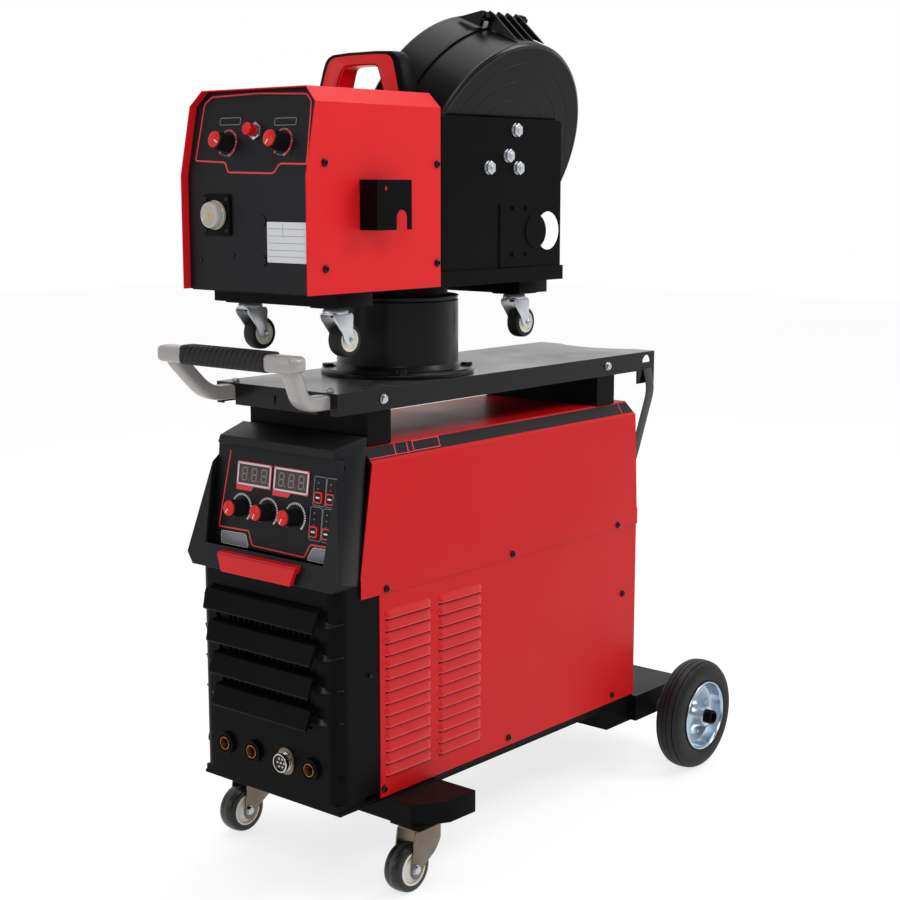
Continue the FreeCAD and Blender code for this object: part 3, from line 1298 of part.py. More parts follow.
def build_fasteners():
    """Screws of the case and bolts of the tray, seated on their panels as separate solids."""
    screws = []
    for side in ("", "-"):
        band = f"{side}(case_half + gap + skin)"
        face = f"{side}(case_half)"
        middle, rear = "case_depth / 2", "case_depth - screw_inset"
        band_row, foot_row = "seam_height + 7", "case_low + 13"
        for outer, spots in ((band, [("13", band_row), (f"{middle} - 23", band_row), (rear, band_row)]),
                             (face, [("7", foot_row), (f"{middle} - 29", foot_row), (f"{rear} - 7", foot_row),
                                     (f"{rear} + 20", "(case_low + seam_height) / 2 + 36.5")])):
            for y, z in spots:
                ends = (outer, f"{outer} + screw_proud") if side == "" else (f"{outer} - screw_proud", outer)
                screws.append(rod("case_screw", "screw_radius", "x", ends, y, z))
    for side in ("", "-"):
        for y in ("leg_front + leg_width / 2 + 6", "leg_rear + leg_width / 2"):
            outer = f"{side}(tray_half)"
            ends = (outer, f"{outer} + bolt_radius") if side == "" else (f"{outer} - bolt_radius", outer)
            screws.append(rod("tray_bolt", "bolt_radius + 2.5", "x", ends, y, "tray_top - tray_flange / 2"))
        x = f"{side}arm_middle"
        head = rod("handle_bolt_head", "bolt_radius + 3", "z", ("tray_top", "tray_top + 5"), x, "foot_bolt")
        shank = rod("handle_bolt", "bolt_radius", "z", ("foot_low - 9", "tray_top + 1"), x, "foot_bolt")
        nut = rod("handle_nut", "bolt_radius + 3", "z", ("foot_low - 6", "foot_low"), x, "foot_bolt")
        screws.append(fuse("handle_bolt_set", head, shank, nut))
    keep(group("fasteners", *screws), "fasteners")


def build_feeder_base():
    """The feeder's floor with turned-up lips, its two crossbeams, the pivot boss and a bulkhead."""
    half, floor = "crossbeam_half", "feeder_floor"
    front, rear = "(feeder_brim + front_set_back + plate + gap)", "feeder_chassis_rear"
    pieces = [box("feeder_floor_sheet", (f"-{half}", half), (front, rear), (floor, f"{floor} + skin"))]
    for low, high in ((f"-{half}", f"-{half} + skin"), (f"{half} - skin", half)):
        pieces.append(box("feeder_lip", (low, high), (front, rear), (floor, f"{floor} + floor_lip")))
    pieces.append(box("feeder_rear_lip", (f"-{half}", half), (f"{rear} - skin", rear),
                      (floor, f"{floor} + floor_lip")))
    for place in ("front_crossbeam", "rear_crossbeam"):
        beam = box("feeder_beam", (f"-{half}", half), (place, f"{place} + crossbeam_width"),
                   ("feeder_low", floor))
        hollow = box("feeder_beam_hollow", (f"-{half} - 1", f"{half} + 1"),
                     (f"{place} + plate", f"{place} + crossbeam_width - plate"),
                     (f"feeder_low + plate", f"{floor} - plate"))
        pieces.append(cut("feeder_beam_box", beam, hollow))
    for x in ("small_castor_x", "-small_castor_x"):
        for y in ("small_castor_front", "small_castor_rear"):
            pieces.append(castor_plate(x, y, "feeder_low", SMALL_CASTOR))
    pieces.append(rod("pivot_boss", "pedestal_radius - 17", "z", ("boss_low", floor), "0", "pivot"))
    pieces.append(rod("pivot_pin", "pivot_radius", "z", ("boss_low - 39", "boss_low + 1"), "0", "pivot"))
    wall = both([(f"{half}", floor), (half, "feeder_shoulder_height - 2"),
                 ("feeder_roof_half - 2", "feeder_height - skin - gap")])
    bulkhead = prism("bulkhead", "xz", wall, "feeder_rear - 2 * skin", "feeder_rear - skin")
    guide = rod("wire_inlet", "12", "y", ("feeder_rear - 20", "feeder_rear + 4"), "10", "feeder_floor + 110")
    bore = rod("wire_inlet_bore", "4", "y", ("feeder_rear - 30", "feeder_rear + 20"), "10",
               "feeder_floor + 110")
    keep(cut("feeder_base", fuse("feeder_base_fused", *pieces, bulkhead, guide), bore), "feeder_base")


def cover_section(inset):
    """The outline of the feeder's cover over its floor, drawn in by an inset."""
    return [(f"feeder_half - {inset}", "feeder_floor + skin"),
            (f"feeder_half - {inset}", f"feeder_shoulder_height - {inset} * 0.4"),
            (f"feeder_roof_half - {inset} * 0.4", f"feeder_height - {inset}")]


def build_feeder_cover():
    """The red cover: one sheet folded over the feeder, its front edge raked back above a knee."""
    outer = cover_section("0")
    edge = outer + [(f"-({x})", z) for x, z in reversed(outer)]
    inner = cover_section("skin")
    edge += [(f"-({x})", z) for x, z in inner] + list(reversed(inner))
    wrap = prism("feeder_wrap", "xz", edge, "feeder_brim", "feeder_rear")
    brim, knee, high = "feeder_brim", "feeder_knee_height", "feeder_height + 10"
    rake = prism("feeder_rake", "yz", [(f"{brim} - 20", knee), (brim, knee),
                                       (f"{brim} + ({high} - {knee}) * tan(feeder_lean)", high),
                                       (f"{brim} - 20", high)],
                 "-feeder_half - 5", "feeder_half + 5")
    keep(cut("feeder_cover", wrap, rake), "feeder_cover")


def build_feeder_front():
    """The feeder's black face, with its two knobs, the inching button and the torch socket."""
    face, knee = "(feeder_brim + front_set_back)", "feeder_knee_height"
    high = "feeder_height + 10"
    back = f"({high} - {knee}) * tan(feeder_lean)"
    bent = prism("face_sheet", "yz",
                 [(face, "feeder_floor + skin"), (face, knee), (f"{face} + {back}", high),
                  (f"{face} + plate + {back}", high), (f"{face} + plate", knee),
                  (f"{face} + plate", "feeder_floor + skin")], "-feeder_half", "feeder_half")
    inside = prism("face_room", "xz", both(cover_section("(skin + gap)")), "feeder_brim", "feeder_rear")
    panel = doc.addObject("Part::MultiCommon", "face_trimmed")
    panel.Shapes = [bent, inside]
    plugs = [rod("blank_plug", "plug_radius", "y", (f"{face} - 2", f"{face} + 1"), "plug_x", z)
             for z in ("torch_height - plug_high_drop", "torch_height - plug_low_drop")]
    nut = doc.addObject("Part::Cylinder", "button_nut")
    nut.setExpression("Radius", bound("button_radius + 2.5"))
    nut.setExpression("Height", bound("button_nut_proud + plate - 1"))
    lean(nut, "button_x", "button_nut_proud", "button_row", UPRIGHT["y"], FEEDER_FACE)
    holes = []
    for x, rise, radius in (("feeder_knob_left", "feeder_knob_row", "shaft_radius + running_gap"),
                            ("feeder_knob_right", "feeder_knob_row", "shaft_radius + running_gap"),
                            ("button_x", "button_row", "button_radius - 3 + running_gap")):
        hole = doc.addObject("Part::Cylinder", "face_hole")
        hole.setExpression("Radius", bound(radius))
        hole.Height = 30
        holes.append(lean(hole, x, "15", rise, UPRIGHT["y"], FEEDER_FACE))
    holes.append(rod("torch_hole", "torch_cap_radius - 4.7", "y", (f"{face} - 10", f"{face} + 10"),
                     "torch_x", "torch_height"))
    keep(cut("feeder_front", fuse("face_fused", panel, *plugs, nut), *holes), "feeder_front")
    for side, place in (("left", "feeder_knob_left"), ("right", "feeder_knob_right")):
        keep(knob(f"feeder_knob_{side}", "knob_radius", "knob_length", place, "feeder_knob_row",
                  FEEDER_FACE), f"feeder_knob_{side}")
    button = doc.addObject("PartDesign::Body", "button")
    section = sketch(button, "button_section", "xz",
                     [("0", "-12"), ("button_radius - 3", "-12"), ("button_radius - 3", "button_collar"),
                      ("button_radius", "button_collar"), ("button_radius", "button_proud - 1.5"),
                      ("button_radius - 1.5", "button_proud"), ("0", "button_proud")])
    spin = button.newObject("PartDesign::Revolution", "button_turning")
    spin.Profile = section
    spin.ReferenceAxis = (section, ["V_Axis"])
    button.Tip = spin
    keep(lean(button, "button_x", "0", "button_row", UPRIGHT["y"].inverted(), FEEDER_FACE),
         "inching_button")
    flange = box_body("torch_flange", ("torch_x - torch_flange_half", "torch_x + torch_flange_half"),
                      (f"{face} - torch_flange_proud", face),
                      ("torch_height - torch_flange_rise", "torch_height + torch_flange_rise"))
    rounded(flange, "6", along("y"))
    cap = rod("torch_cap", "torch_cap_radius", "y", (f"{face} - torch_cap_proud", f"{face} - 3"), "torch_x",
              "torch_height")
    tube = rod("torch_tube", "torch_cap_radius - 5", "y", (f"{face} - 4", f"{face} + 40"), "torch_x",
               "torch_height")
    keep(fuse("torch_fused", flange, cap, tube), "torch_socket")


def build_bracket():
    """The torch holder on the cover's right side, a plate held out on one flange and notched below."""
    near, out = "feeder_half", "feeder_half + bracket_out"
    front, rear = "bracket_front", "bracket_rear"
    low, high = "bracket_low", "bracket_high"
    pieces = [box("bracket_foot", (near, f"{near} + bracket_sheet"), (front, f"{front} + bracket_foot"),
                  (low, high)),
              box("bracket_flange", (near, out), (front, f"{front} + bracket_sheet"), (low, high)),
              box("bracket_plate", (f"{out} - bracket_sheet", out), (front, rear), (low, high))]
    bolt = rod("bracket_bolt", "bolt_radius", "x", (f"{near} + bracket_sheet", f"{near} + bracket_sheet + 4"),
               f"{front} + 26", f"({low} + {high}) / 2")
    middle = f"({rear} - 21)"
    notch = box("bracket_slot", (f"{out} - 9", f"{out} + 9"),
                (f"{middle} - bracket_slot", f"{middle} + bracket_slot"),
                (f"{low} - 1", f"{low} + bracket_slot_rise"))
    crown = rod("bracket_slot_crown", "bracket_slot", "x", (f"{out} - 9", f"{out} + 9"), middle,
                f"{low} + bracket_slot_rise")
    hole = rod("bracket_hole", "3", "x", (f"{out} - 9", f"{out} + 9"), f"{front} + 20", f"{high} - 12")
    keep(cut("torch_bracket", fuse("bracket_fused", *pieces, bolt), notch, crown, hole), "torch_bracket")


def build_feeder_handle():
    """The moulded handle across the back of the cover's roof, broad at its feet."""
    top, roof = "feeder_handle_height", "feeder_height"
    outer = [("feeder_roof_half", roof), ("feeder_roof_half", f"{roof} + feeder_handle_foot"),
             ("feeder_roof_half - feeder_handle_shoulder", f"{top} - 8"), ("feeder_handle_half", top)]
    inner = [("finger_low_half", roof), ("finger_high_half", f"{top} - finger_drop - 2"),
             ("finger_high_half - 4", f"{top} - finger_drop")]
    edge = outer + [(f"-({x})", z) for x, z in reversed(outer)]
    edge += [(f"-({x})", z) for x, z in inner] + list(reversed(inner))
    block = prism("handle_block", "xz", edge, "feeder_handle_front", "feeder_handle_rear")
    rounded(block, "4", along_top(number("feeder_height")))
    keep(block, "feeder_handle")


def along_top(floor):
    """A test for the level edge along the top of the handle, front and back."""

    def pick(edge):
        heights = [vertex.Point.z for vertex in edge.Vertexes]
        return min(heights) > floor + 62 and abs(edge.tangentAt(edge.FirstParameter).x) > 0.99

    return pick


def build_side_plate():
    """The plate beside the spool, with its round window, bracket and the nuts of the spool's hub."""
    sheet_body = box_body("side_sheet", ("side_plate_x", "side_plate_x + plate"),
                          ("side_plate_front", "side_plate_rear"),
                          ("feeder_floor + skin", "side_plate_high"))
    top = number("side_plate_high")

    def top_corners(edge):
        return along("x")(edge) and abs(edge.Vertexes[0].Point.z - top) < 1

    rounded(sheet_body, "6", top_corners)
    window = rod("side_window", "window_radius", "x", ("side_plate_x - 5", "side_plate_x + 9"),
                 "window_y", "window_height")
    foot = box("side_foot", ("side_plate_x - 16", "side_plate_x + 1"), ("side_plate_front", "side_plate_rear"),
               ("feeder_floor + skin", "feeder_floor + skin + plate"))
    outside = "side_plate_x + plate"
    pad = box("hose_pad", (outside, f"{outside} + 2"), ("window_y - 129", "window_y - 38"),
              ("window_height - 56", "window_height + 45"))
    disc = rod("hose_disc", "window_radius - 4", "x", (outside, f"{outside} + 4"), "window_y - 38",
               "window_height")
    nuts = [rod("hub_nut", "9", "x", (outside, f"{outside} + 7"), y, z)
            for y, z in (("spool_y - 4", "spool_height + 43.5"), ("spool_y - 72", "spool_height - 15.5"),
                         ("spool_y + 1", "spool_height - 15.5"), ("spool_y - 24", "spool_height + 3.5"))]
    nuts += [rod("pad_screw", "4", "x", (f"{outside} + 2", f"{outside} + 5"), y, z)
             for y in ("window_y - 95", "window_y - 61")
             for z in ("window_height + 37", "window_height - 36")]
    keep(fuse("side_plate", cut("side_cut", sheet_body, window), foot, pad, disc, *nuts), "side_plate")


def build_drive():
    """The wire drive behind the feeder's face: motor, gear plate, two roll pairs and a pressure arm."""
    floor = "feeder_floor + skin"
    mid = f"{floor} + 108"
    stand = box("drive_stand", ("-30", "-14"), ("-50", "110"), (floor, f"{floor} + 30"))
    plate = box("drive_plate", ("-22", "-14"), ("-50", "110"), (f"{floor} + 29", f"{floor} + 165"))
    motor = rod("drive_motor", "38", "x", ("-112", "-21"), "30", f"{floor} + 85")
    pieces = [stand, plate, motor]
    for y in ("0", "60"):
        for z in (f"{mid} - 17", f"{mid} + 17"):
            pieces.append(rod("drive_roll", "16.5", "x", ("-15", "14"), y, z))
            pieces.append(rod("drive_roll_screw", "7", "x", ("13", "22"), y, z))
    pieces.append(box("pressure_arm", ("-15", "12"), ("-14", "74"), (f"{mid} + 30", f"{mid} + 44")))
    pieces.append(rod("pressure_screw", "9", "z", (f"{mid} + 43", f"{mid} + 70"), "0", "30"))
    keep(fuse("drive_unit", *pieces), "drive_unit")


def drum(thing, name):
    """Places a thing that was turned about its own Z on the spool's leaning axis."""
    turn = Rotation(Vector(0, 1, 0), number("spool_lean")) * UPRIGHT["x"]
    put(thing, "spool_x", deep("spool_y"), "spool_height", turn)
    doc.recompute()
    return keep(thing, name) if name else thing


def leaf(name, points, low, high):
    """A web across the drum from pairs of place along its axis and distance from it."""
    body = doc.addObject("PartDesign::Body", name)
    outline = sketch(body, name + "_outline", "xz", [(distance, place) for place, distance in points],
                     f"-({high})")
    pad = body.newObject("PartDesign::Pad", name + "_pad")
    pad.Profile = outline
    pad.setExpression("Length", bound(f"({high}) - ({low})"))
    pad.Reversed = False
    body.Tip = pad
    turn = Rotation(Vector(0, 1, 0), number("spool_lean")) * UPRIGHT["x"] * Rotation(Vector(0, 0, 1), 180)
    put(body, "spool_x", deep("spool_y"), "spool_height", turn)
    doc.recompute()
    return body


def build_spool():
    """The two-part cover round the wire spool, hinged at the top, with the spool on its spindle."""
    radius, split, wide, wall = "cover_radius", "cover_split", "cover_width", "cover_wall"
    near = [("spool_bore - 1", "0"), (f"{radius} - 6", "0"), (f"{radius} - 2", "-2"), (radius, "-6"),
            (radius, f"-{split} + rib_width / 2"), (f"{radius} + rib_proud", f"-{split} + rib_width / 2"),
            (f"{radius} + rib_proud", f"-{split}"), (f"{radius} - {wall}", f"-{split}"),
            (f"{radius} - {wall}", "-7"), (f"{radius} - 7", f"-{wall}"), ("spool_bore - 1", f"-{wall}")]
    far = [("0", f"-{wide}"), (f"{radius} - 6", f"-{wide}"), (f"{radius} - 2", f"-{wide} + 2"),
           (radius, f"-{wide} + 6"), (radius, f"-{split} - rib_width / 2"),
           (f"{radius} + rib_proud", f"-{split} - rib_width / 2"), (f"{radius} + rib_proud", f"-{split} - gap"),
           (f"{radius} - {wall}", f"-{split} - gap"), (f"{radius} - {wall}", f"-{wide} + 7"),
           (f"{radius} - 7", f"-{wide} + {wall}"), ("0", f"-{wide} + {wall}")]
    pin_place, pin_height = f"(-{split} - gap / 2)", f"({radius} + hinge_height)"
    webs = []
    for step in (-1.5, -0.5, 0.5, 1.5):
        middle = f"({step}) * gusset_pitch"
        span = (f"{middle} - gusset_width / 2", f"{middle} + gusset_width / 2")
        webs.append(leaf("near_web", [(f"-{split} + 1", f"{radius} - 1.5"), ("-12", f"{radius} - 1.5"),
                                      (f"{pin_place} + 6", f"{pin_height} + 6"),
                                      (f"{pin_place} - 4", f"{pin_height} + 8"),
                                      (f"{pin_place} - 8", f"{pin_height}"),
                                      (f"{pin_place} - 4", f"{pin_height} - 7"),
                                      (f"-{split} + 1", f"{pin_height} - 9")], *span))
    pin = leaf_rod("hinge_pin", "hinge_pin_radius", pin_place, pin_height,
                   "-2.6 * gusset_pitch", "2.6 * gusset_pitch")
    near_half = turned("near_half", near, "z")
    drum(near_half, None)
    keep(fuse("spool_cover_near", near_half, *webs, pin), "spool_cover_right")
    eyes = []
    for step in (-2.15, 2.15):
        middle = f"({step}) * gusset_pitch"
        span = (f"{middle} - 4", f"{middle} + 4")
        eyes.append(leaf("far_web", [(f"-{split} - gap - 1", f"{radius} - 1.5"),
                                     (f"-{split} - gap - 1", f"{pin_height} - 7"),
                                     (f"{pin_place} + 4", f"{pin_height} - 7"),
                                     (f"{pin_place} + 7", pin_height), (f"{pin_place} + 3", f"{pin_height} + 7"),
                                     (f"{pin_place} - 5", f"{pin_height} + 7"),
                                     (f"-{split} - 48", f"{radius} - 1.5")], *span))
    bore = leaf_rod("hinge_bore", "hinge_pin_radius + running_gap", pin_place, pin_height,
                    "-4 * gusset_pitch", "4 * gusset_pitch")
    far_half = turned("far_half", far, "z")
    drum(far_half, None)
    keep(cut("spool_cover_far", fuse("spool_cover_far_fused", far_half, *eyes), bore), "spool_cover_left")
    low, high = "-(cover_width + spool_width) / 2", "-(cover_width - spool_width) / 2"
    reel = [("spool_bore", low), ("spool_radius", low), ("spool_radius", f"{low} + 3"),
            ("spool_radius - 12", f"{low} + 3"), ("spool_radius - 12", f"{high} - 3"),
            ("spool_radius", f"{high} - 3"), ("spool_radius", high), ("spool_bore", high)]
    drum(turned("reel", reel, "z"), "wire_spool")
    spindle = [("0", f"{low} - 3"), ("spool_bore - running_gap - 2", f"{low} - 3"),
               ("spool_bore - running_gap", f"{low} - 1"), ("spool_bore - running_gap", f"{high} + gap"),
               ("spool_bore + 8", f"{high} + gap"), ("spool_bore + 8", f"-{wall}"),
               ("spool_bore - 1", f"-{wall}"), ("spool_bore - 1", "0"), ("0", "0")]
    post = drum(turned("spindle_post", spindle, "z"), None)
    barrel = rod("hub_barrel", "58", "x", ("spool_x - 40", "side_plate_x"), "spool_y - 14", "spool_height - 2")
    envelope = doc.addObject("Part::Cylinder", "drum_envelope")
    envelope.setExpression("Radius", bound(radius))
    envelope.setExpression("Height", bound(wide))
    turn = Rotation(Vector(0, 1, 0), number("spool_lean")) * UPRIGHT["x"]
    lean_shift = f"({wide}) * cos(spool_lean)", f"({wide}) * sin(spool_lean)"
    put(envelope, f"spool_x - {lean_shift[0]}", deep("spool_y"), f"spool_height + {lean_shift[1]}", turn)
    wedge = cut("hub_wedge", barrel, envelope)
    keep(fuse("spindle_and_hub", post, wedge), "spool_spindle")


def leaf_rod(name, radius, place, distance, low, high):
    """A rod across the drum, at a place along its axis and a distance from it."""
    bar = doc.addObject("Part::Cylinder", name)
    bar.setExpression("Radius", bound(radius))
    bar.setExpression("Height", bound(f"({high}) - ({low})"))
    x = f"spool_x + ({place}) * cos(spool_lean) + ({distance}) * sin(spool_lean)"
    z = f"spool_height - ({place}) * sin(spool_lean) + ({distance}) * cos(spool_lean)"
    return put(bar, x, f"{deep('spool_y')} + ({low})", z, UPRIGHT["y"])


def check_and_write():
    """Stops if anything failed, then writes one file for each sub-part."""
    doc.recompute()
    failed = [item.Label for item in doc.Objects if {"Invalid", "Error"} & set(item.State)]
    broken = [item.Label for item in PARTS if item.Shape.isNull() or not item.Shape.isValid()]
    if failed or broken:
        raise SystemExit(f"failed: {failed}; broken: {broken}")
    if len({item.Label for item in PARTS}) != len(PARTS):
        raise SystemExit("two sub-parts have one name")
    os.makedirs("parts", exist_ok=True)
    for item in PARTS:
        item.Shape.exportStep(f"parts/{item.Label}.step")
    print(len(PARTS), "sub-parts written")


build_chassis()
build_outrigger()
for side, x in (("right", "castor_x"), ("left", "-castor_x")):
    build_castor(f"castor_{side}", x, "castor_y", "beam_low", FRONT_CASTOR)
build_rear_wheels()
build_side_panels()
build_top_cover()
build_rear_panel()
build_inside()
build_grille()
build_hood()
build_control_panel()
build_wedge()
build_tray()
build_handle()
build_strap()
build_pedestal()
build_fasteners()
build_feeder_base()
for side, x in (("right", "small_castor_x"), ("left", "-small_castor_x")):
    for end, y in (("front", "small_castor_front"), ("rear", "small_castor_rear")):
        build_castor(f"feeder_castor_{end}_{side}", x, y, "feeder_low", SMALL_CASTOR)
build_feeder_cover()
build_feeder_front()
build_bracket()
build_feeder_handle()
build_side_plate()
build_drive()
build_spool()
check_and_write()
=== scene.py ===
# %% [markdown]
# # A workshop welder on its trolley
# A power source stands on two castors and two rubber-tyred wheels. A tray above it carries a turned
# pedestal, and a wire feeder swivels on that. The frame below already holds every rigid piece at its
# real size, so this lesson only dresses it: finishes, small parts and printed graphics.

# %% Load the frame
from math import cos, pi, radians, sin

import bmesh
import bpy
import numpy as np
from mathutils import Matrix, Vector


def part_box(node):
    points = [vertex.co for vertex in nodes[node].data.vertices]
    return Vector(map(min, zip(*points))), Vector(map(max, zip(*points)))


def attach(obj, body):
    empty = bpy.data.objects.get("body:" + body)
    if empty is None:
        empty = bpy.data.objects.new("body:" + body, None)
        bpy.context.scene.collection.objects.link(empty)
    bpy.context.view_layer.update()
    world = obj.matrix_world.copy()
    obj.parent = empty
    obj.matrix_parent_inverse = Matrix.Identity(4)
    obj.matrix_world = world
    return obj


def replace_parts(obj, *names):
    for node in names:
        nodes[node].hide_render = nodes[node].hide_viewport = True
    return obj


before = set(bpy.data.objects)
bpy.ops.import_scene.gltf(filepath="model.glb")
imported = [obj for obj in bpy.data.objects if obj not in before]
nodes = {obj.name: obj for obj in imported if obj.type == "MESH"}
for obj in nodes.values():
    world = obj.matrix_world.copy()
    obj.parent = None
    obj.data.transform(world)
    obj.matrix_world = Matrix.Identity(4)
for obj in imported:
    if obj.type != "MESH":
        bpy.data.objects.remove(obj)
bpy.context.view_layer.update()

scene = bpy.context.scene

# %% [markdown]
# ## One unit and one origin
# The drawings of such a machine are in millimetres, and depths are counted from the front edge of the
# side panels. `mm` turns such a place into metres from the frame's origin, so every number below is a
# real size that could be checked with a rule.

# %% Millimetres to metres
CASE_FRONT = -346.85
SIDES = ((1, "right"), (-1, "left"))
RIGHT, FORWARD, UP, DOWN = (1, 0, 0), (0, -1, 0), (0, 0, 1), (0, 0, -1)


def mm(x, y, z):
    """A place in millimetres, its depth counted from the case's front edge, as metres in the frame."""
    return np.array([x, y + CASE_FRONT, z], float) / 1000


print("the tray's front edge is at", mm(0, -62, 760))

# %% [markdown]
# ## The camera
# The view is from the front right, a little above the feeder, with a long lens. Yaw and pitch were
# found from the case's parallel edges, which meet at two vanishing points.

# %% Camera
YAW, PITCH, LENS = radians(40.29), radians(9.24), 65.09
camera_data = bpy.data.cameras.new("camera")
camera_data.lens = LENS
camera = bpy.data.objects.new("camera", camera_data)
camera.location = mm(1738.36, -1713.06, 1054.05)
camera.rotation_euler = (pi / 2 - PITCH, 0, YAW)
scene.collection.objects.link(camera)
scene.camera = camera
print("camera at", tuple(round(c, 3) for c in camera.location))

# %% [markdown]
# ## Soft light on a pale floor
# Glossy powder coat shows its form by the edges of what it reflects. Large area lights give broad
# reflections. The surroundings are white behind the machine and dimmer on the user's side, as in a
# studio with one white backdrop: black faces stay black, and the tray's top, seen almost edge on,
# mirrors the backdrop and turns grey.

# %% Floor, world and lights
def add(tree, kind, inputs=None, **settings):
    """A shader node of a kind, with its settings and the start values of its named inputs."""
    node = tree.nodes.new(f"ShaderNode{kind}")
    for setting, value in settings.items():
        setattr(node, setting, value)
    for socket, value in (inputs or {}).items():
        node.inputs[socket].default_value = value
    return node


def wire(tree, *links):
    """Links nodes, each link given as a node, its output, the next node and its input."""
    for source, outlet, target, inlet in links:
        tree.links.new(source.outputs[outlet], target.inputs[inlet])


def area_light(name, place, aim, size, power):
    """A softbox, in metres wide and high, that faces a point."""
    data = bpy.data.lights.new(name, "AREA")
    data.shape = "RECTANGLE"
    data.size, data.size_y = size
    data.energy = power
    lamp = bpy.data.objects.new(name, data)
    lamp.location = place
    lamp.rotation_euler = (Vector(aim) - Vector(place)).to_track_quat("-Z", "Y").to_euler()
    scene.collection.objects.link(lamp)


FLOOR_HALF = 12.0
floor_corners = [(x * FLOOR_HALF, y * FLOOR_HALF, 0) for x, y in ((-1, -1), (1, -1), (1, 1), (-1, 1))]
floor_mesh = bpy.data.meshes.new("floor")
floor_mesh.from_pydata(floor_corners, [], [(0, 1, 2, 3)])
floor = bpy.data.objects.new("floor", floor_mesh)
scene.collection.objects.link(floor)

BACKDROP_WAY, DIM, BRIGHT = (-0.647, 0.763, 0.0), 0.24, 1.0
world = bpy.data.worlds.new("studio")
world.use_nodes = True
tree = world.node_tree
background = tree.nodes["Background"]
background.inputs["Color"].default_value = (1, 1, 1, 1)
towards = add(tree, "VectorMath", {1: BACKDROP_WAY}, operation="DOT_PRODUCT")
ramp = add(tree, "MapRange", {"From Min": -0.2, "From Max": 0.55, "To Min": DIM, "To Max": BRIGHT})
wire(tree, (add(tree, "TexCoord"), "Generated", towards, 0), (towards, "Value", ramp, "Value"),
     (ramp, "Result", background, "Strength"))
scene.world = world
scene.view_settings.view_transform = "Standard"

LIGHTS = (("key", (2.6, -2.6, 3.4), (0, 0, 0.7), (2.0, 2.0), 62),
          ("side", (2.2, 1.6, 3.0), (0, 0.1, 0.4), (1.2, 1.2), 34),
          ("front", (-1.8, -3.4, 1.6), (0, 0, 0.7), (1.2, 1.8), 16),
          ("top", (0, 0.3, 3.6), (0, 0, 0), (2.4, 2.4), 44))
for light in LIGHTS:
    area_light(*light)
print(len(LIGHTS), "softboxes lit")

# %% [markdown]
# ## Meshes from arrays
# Every new piece is a grid of points computed at once and stitched into quads. `sweep` stitches a stack
# of rings and closes its ends, and `lathe` turns a half profile about an axis. `plate` gives a flat
# outline its thickness with a small rounded rim, and `stroke` lays a band along a path. A `fillet`
# rounds the corners of an outline first, because a real edge is never razor sharp and its rounding is
# what catches the light.

# %% Piece helpers
SHARP = radians(32)


def unit(way):
    """A direction of length one."""
    return np.asarray(way, float) / np.linalg.norm(way)


def square_to(axis):
    """Two directions square to an axis and to each other."""
    first = unit(np.cross(axis, UP if abs(axis[2]) < 0.9 else (0, 1, 0)))
    return first, np.cross(axis, first)


def whole_turn(steps):
    """Angles that go evenly round a circle."""
    return np.linspace(0, 2 * pi, steps, endpoint=False)


def stand(name, mesh, material, body):
    """Puts a mesh into the scene as a smooth piece of one material that rides on a body."""
    mesh.polygons.foreach_set("use_smooth", np.ones(len(mesh.polygons), bool))
    mesh.materials.clear()
    mesh.materials.append(material)
    made = bpy.data.objects.new(name, mesh)
    scene.collection.objects.link(made)
    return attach(made, body)


def piece(name, points, faces, material, body):
    """Makes a mesh from points and faces, merges doubles, turns faces outwards and smooths soft edges."""
    mesh = bpy.data.meshes.new(name)
    mesh.from_pydata(np.asarray(points, float).tolist(), [], faces)
    work = bmesh.new()
    work.from_mesh(mesh)
    bmesh.ops.remove_doubles(work, verts=work.verts, dist=1e-6)
    bmesh.ops.recalc_face_normals(work, faces=work.faces)
    work.to_mesh(mesh)
    work.free()
    made = stand(name, mesh, material, body)
    mesh.set_sharp_from_angle(angle=SHARP)
    return made


def grid_faces(rows, columns, wrap_rows):
    """Quads that stitch rings of points, the last ring to the first as well where the rows wrap."""
    i, j = np.meshgrid(np.arange(rows if wrap_rows else rows - 1), np.arange(columns), indexing="ij")
    down, across = (i + 1) % rows, (j + 1) % columns
    quads = [i * columns + j, i * columns + across, down * columns + across, down * columns + j]
    return np.stack(quads, -1).reshape(-1, 4)


def several(name, forms, material, body, loop=False):
    """One piece from many forms. Each is a stack of rings, closed at its ends or, as a loop, on itself."""
    points, faces, start = [], [], 0
    for rings in forms:
        rings = np.asarray(rings, float)
        rows, columns = rings.shape[:2]
        points.append(rings.reshape(-1, 3))
        faces += (grid_faces(rows, columns, loop) + start).tolist()
        if not loop:
            faces += [[start + row * columns + k for k in range(columns)] for row in (0, rows - 1)]
        start += rows * columns
    return piece(name, np.concatenate(points), faces, material, body)


def sweep(name, rings, material, body, loop=False):
    """One form from a stack of rings of points, in metres."""
    return several(name, [rings], material, body, loop)


def fillet(points, radius, closed=True, steps=4):
    """Replaces each corner by an arc: a quadratic curve between two points set back from the corner."""
    points = np.asarray(points, float)
    count = len(points)
    radii = np.broadcast_to(np.asarray(radius, float), (count,))
    made = []
    for k in range(count):
        here = points[k]
        if (not closed and k in (0, count - 1)) or radii[k] <= 0:
            made.append(here)
            continue
        before, after = points[k - 1] - here, points[(k + 1) % count] - here
        reach = min(radii[k], 0.49 * np.linalg.norm(before), 0.49 * np.linalg.norm(after))
        start, end = here + unit(before) * reach, here + unit(after) * reach
        t = np.linspace(0, 1, steps + 1)[:, None]
        made.extend((1 - t) ** 2 * start + 2 * t * (1 - t) * here + t ** 2 * end)
    return np.array(made)


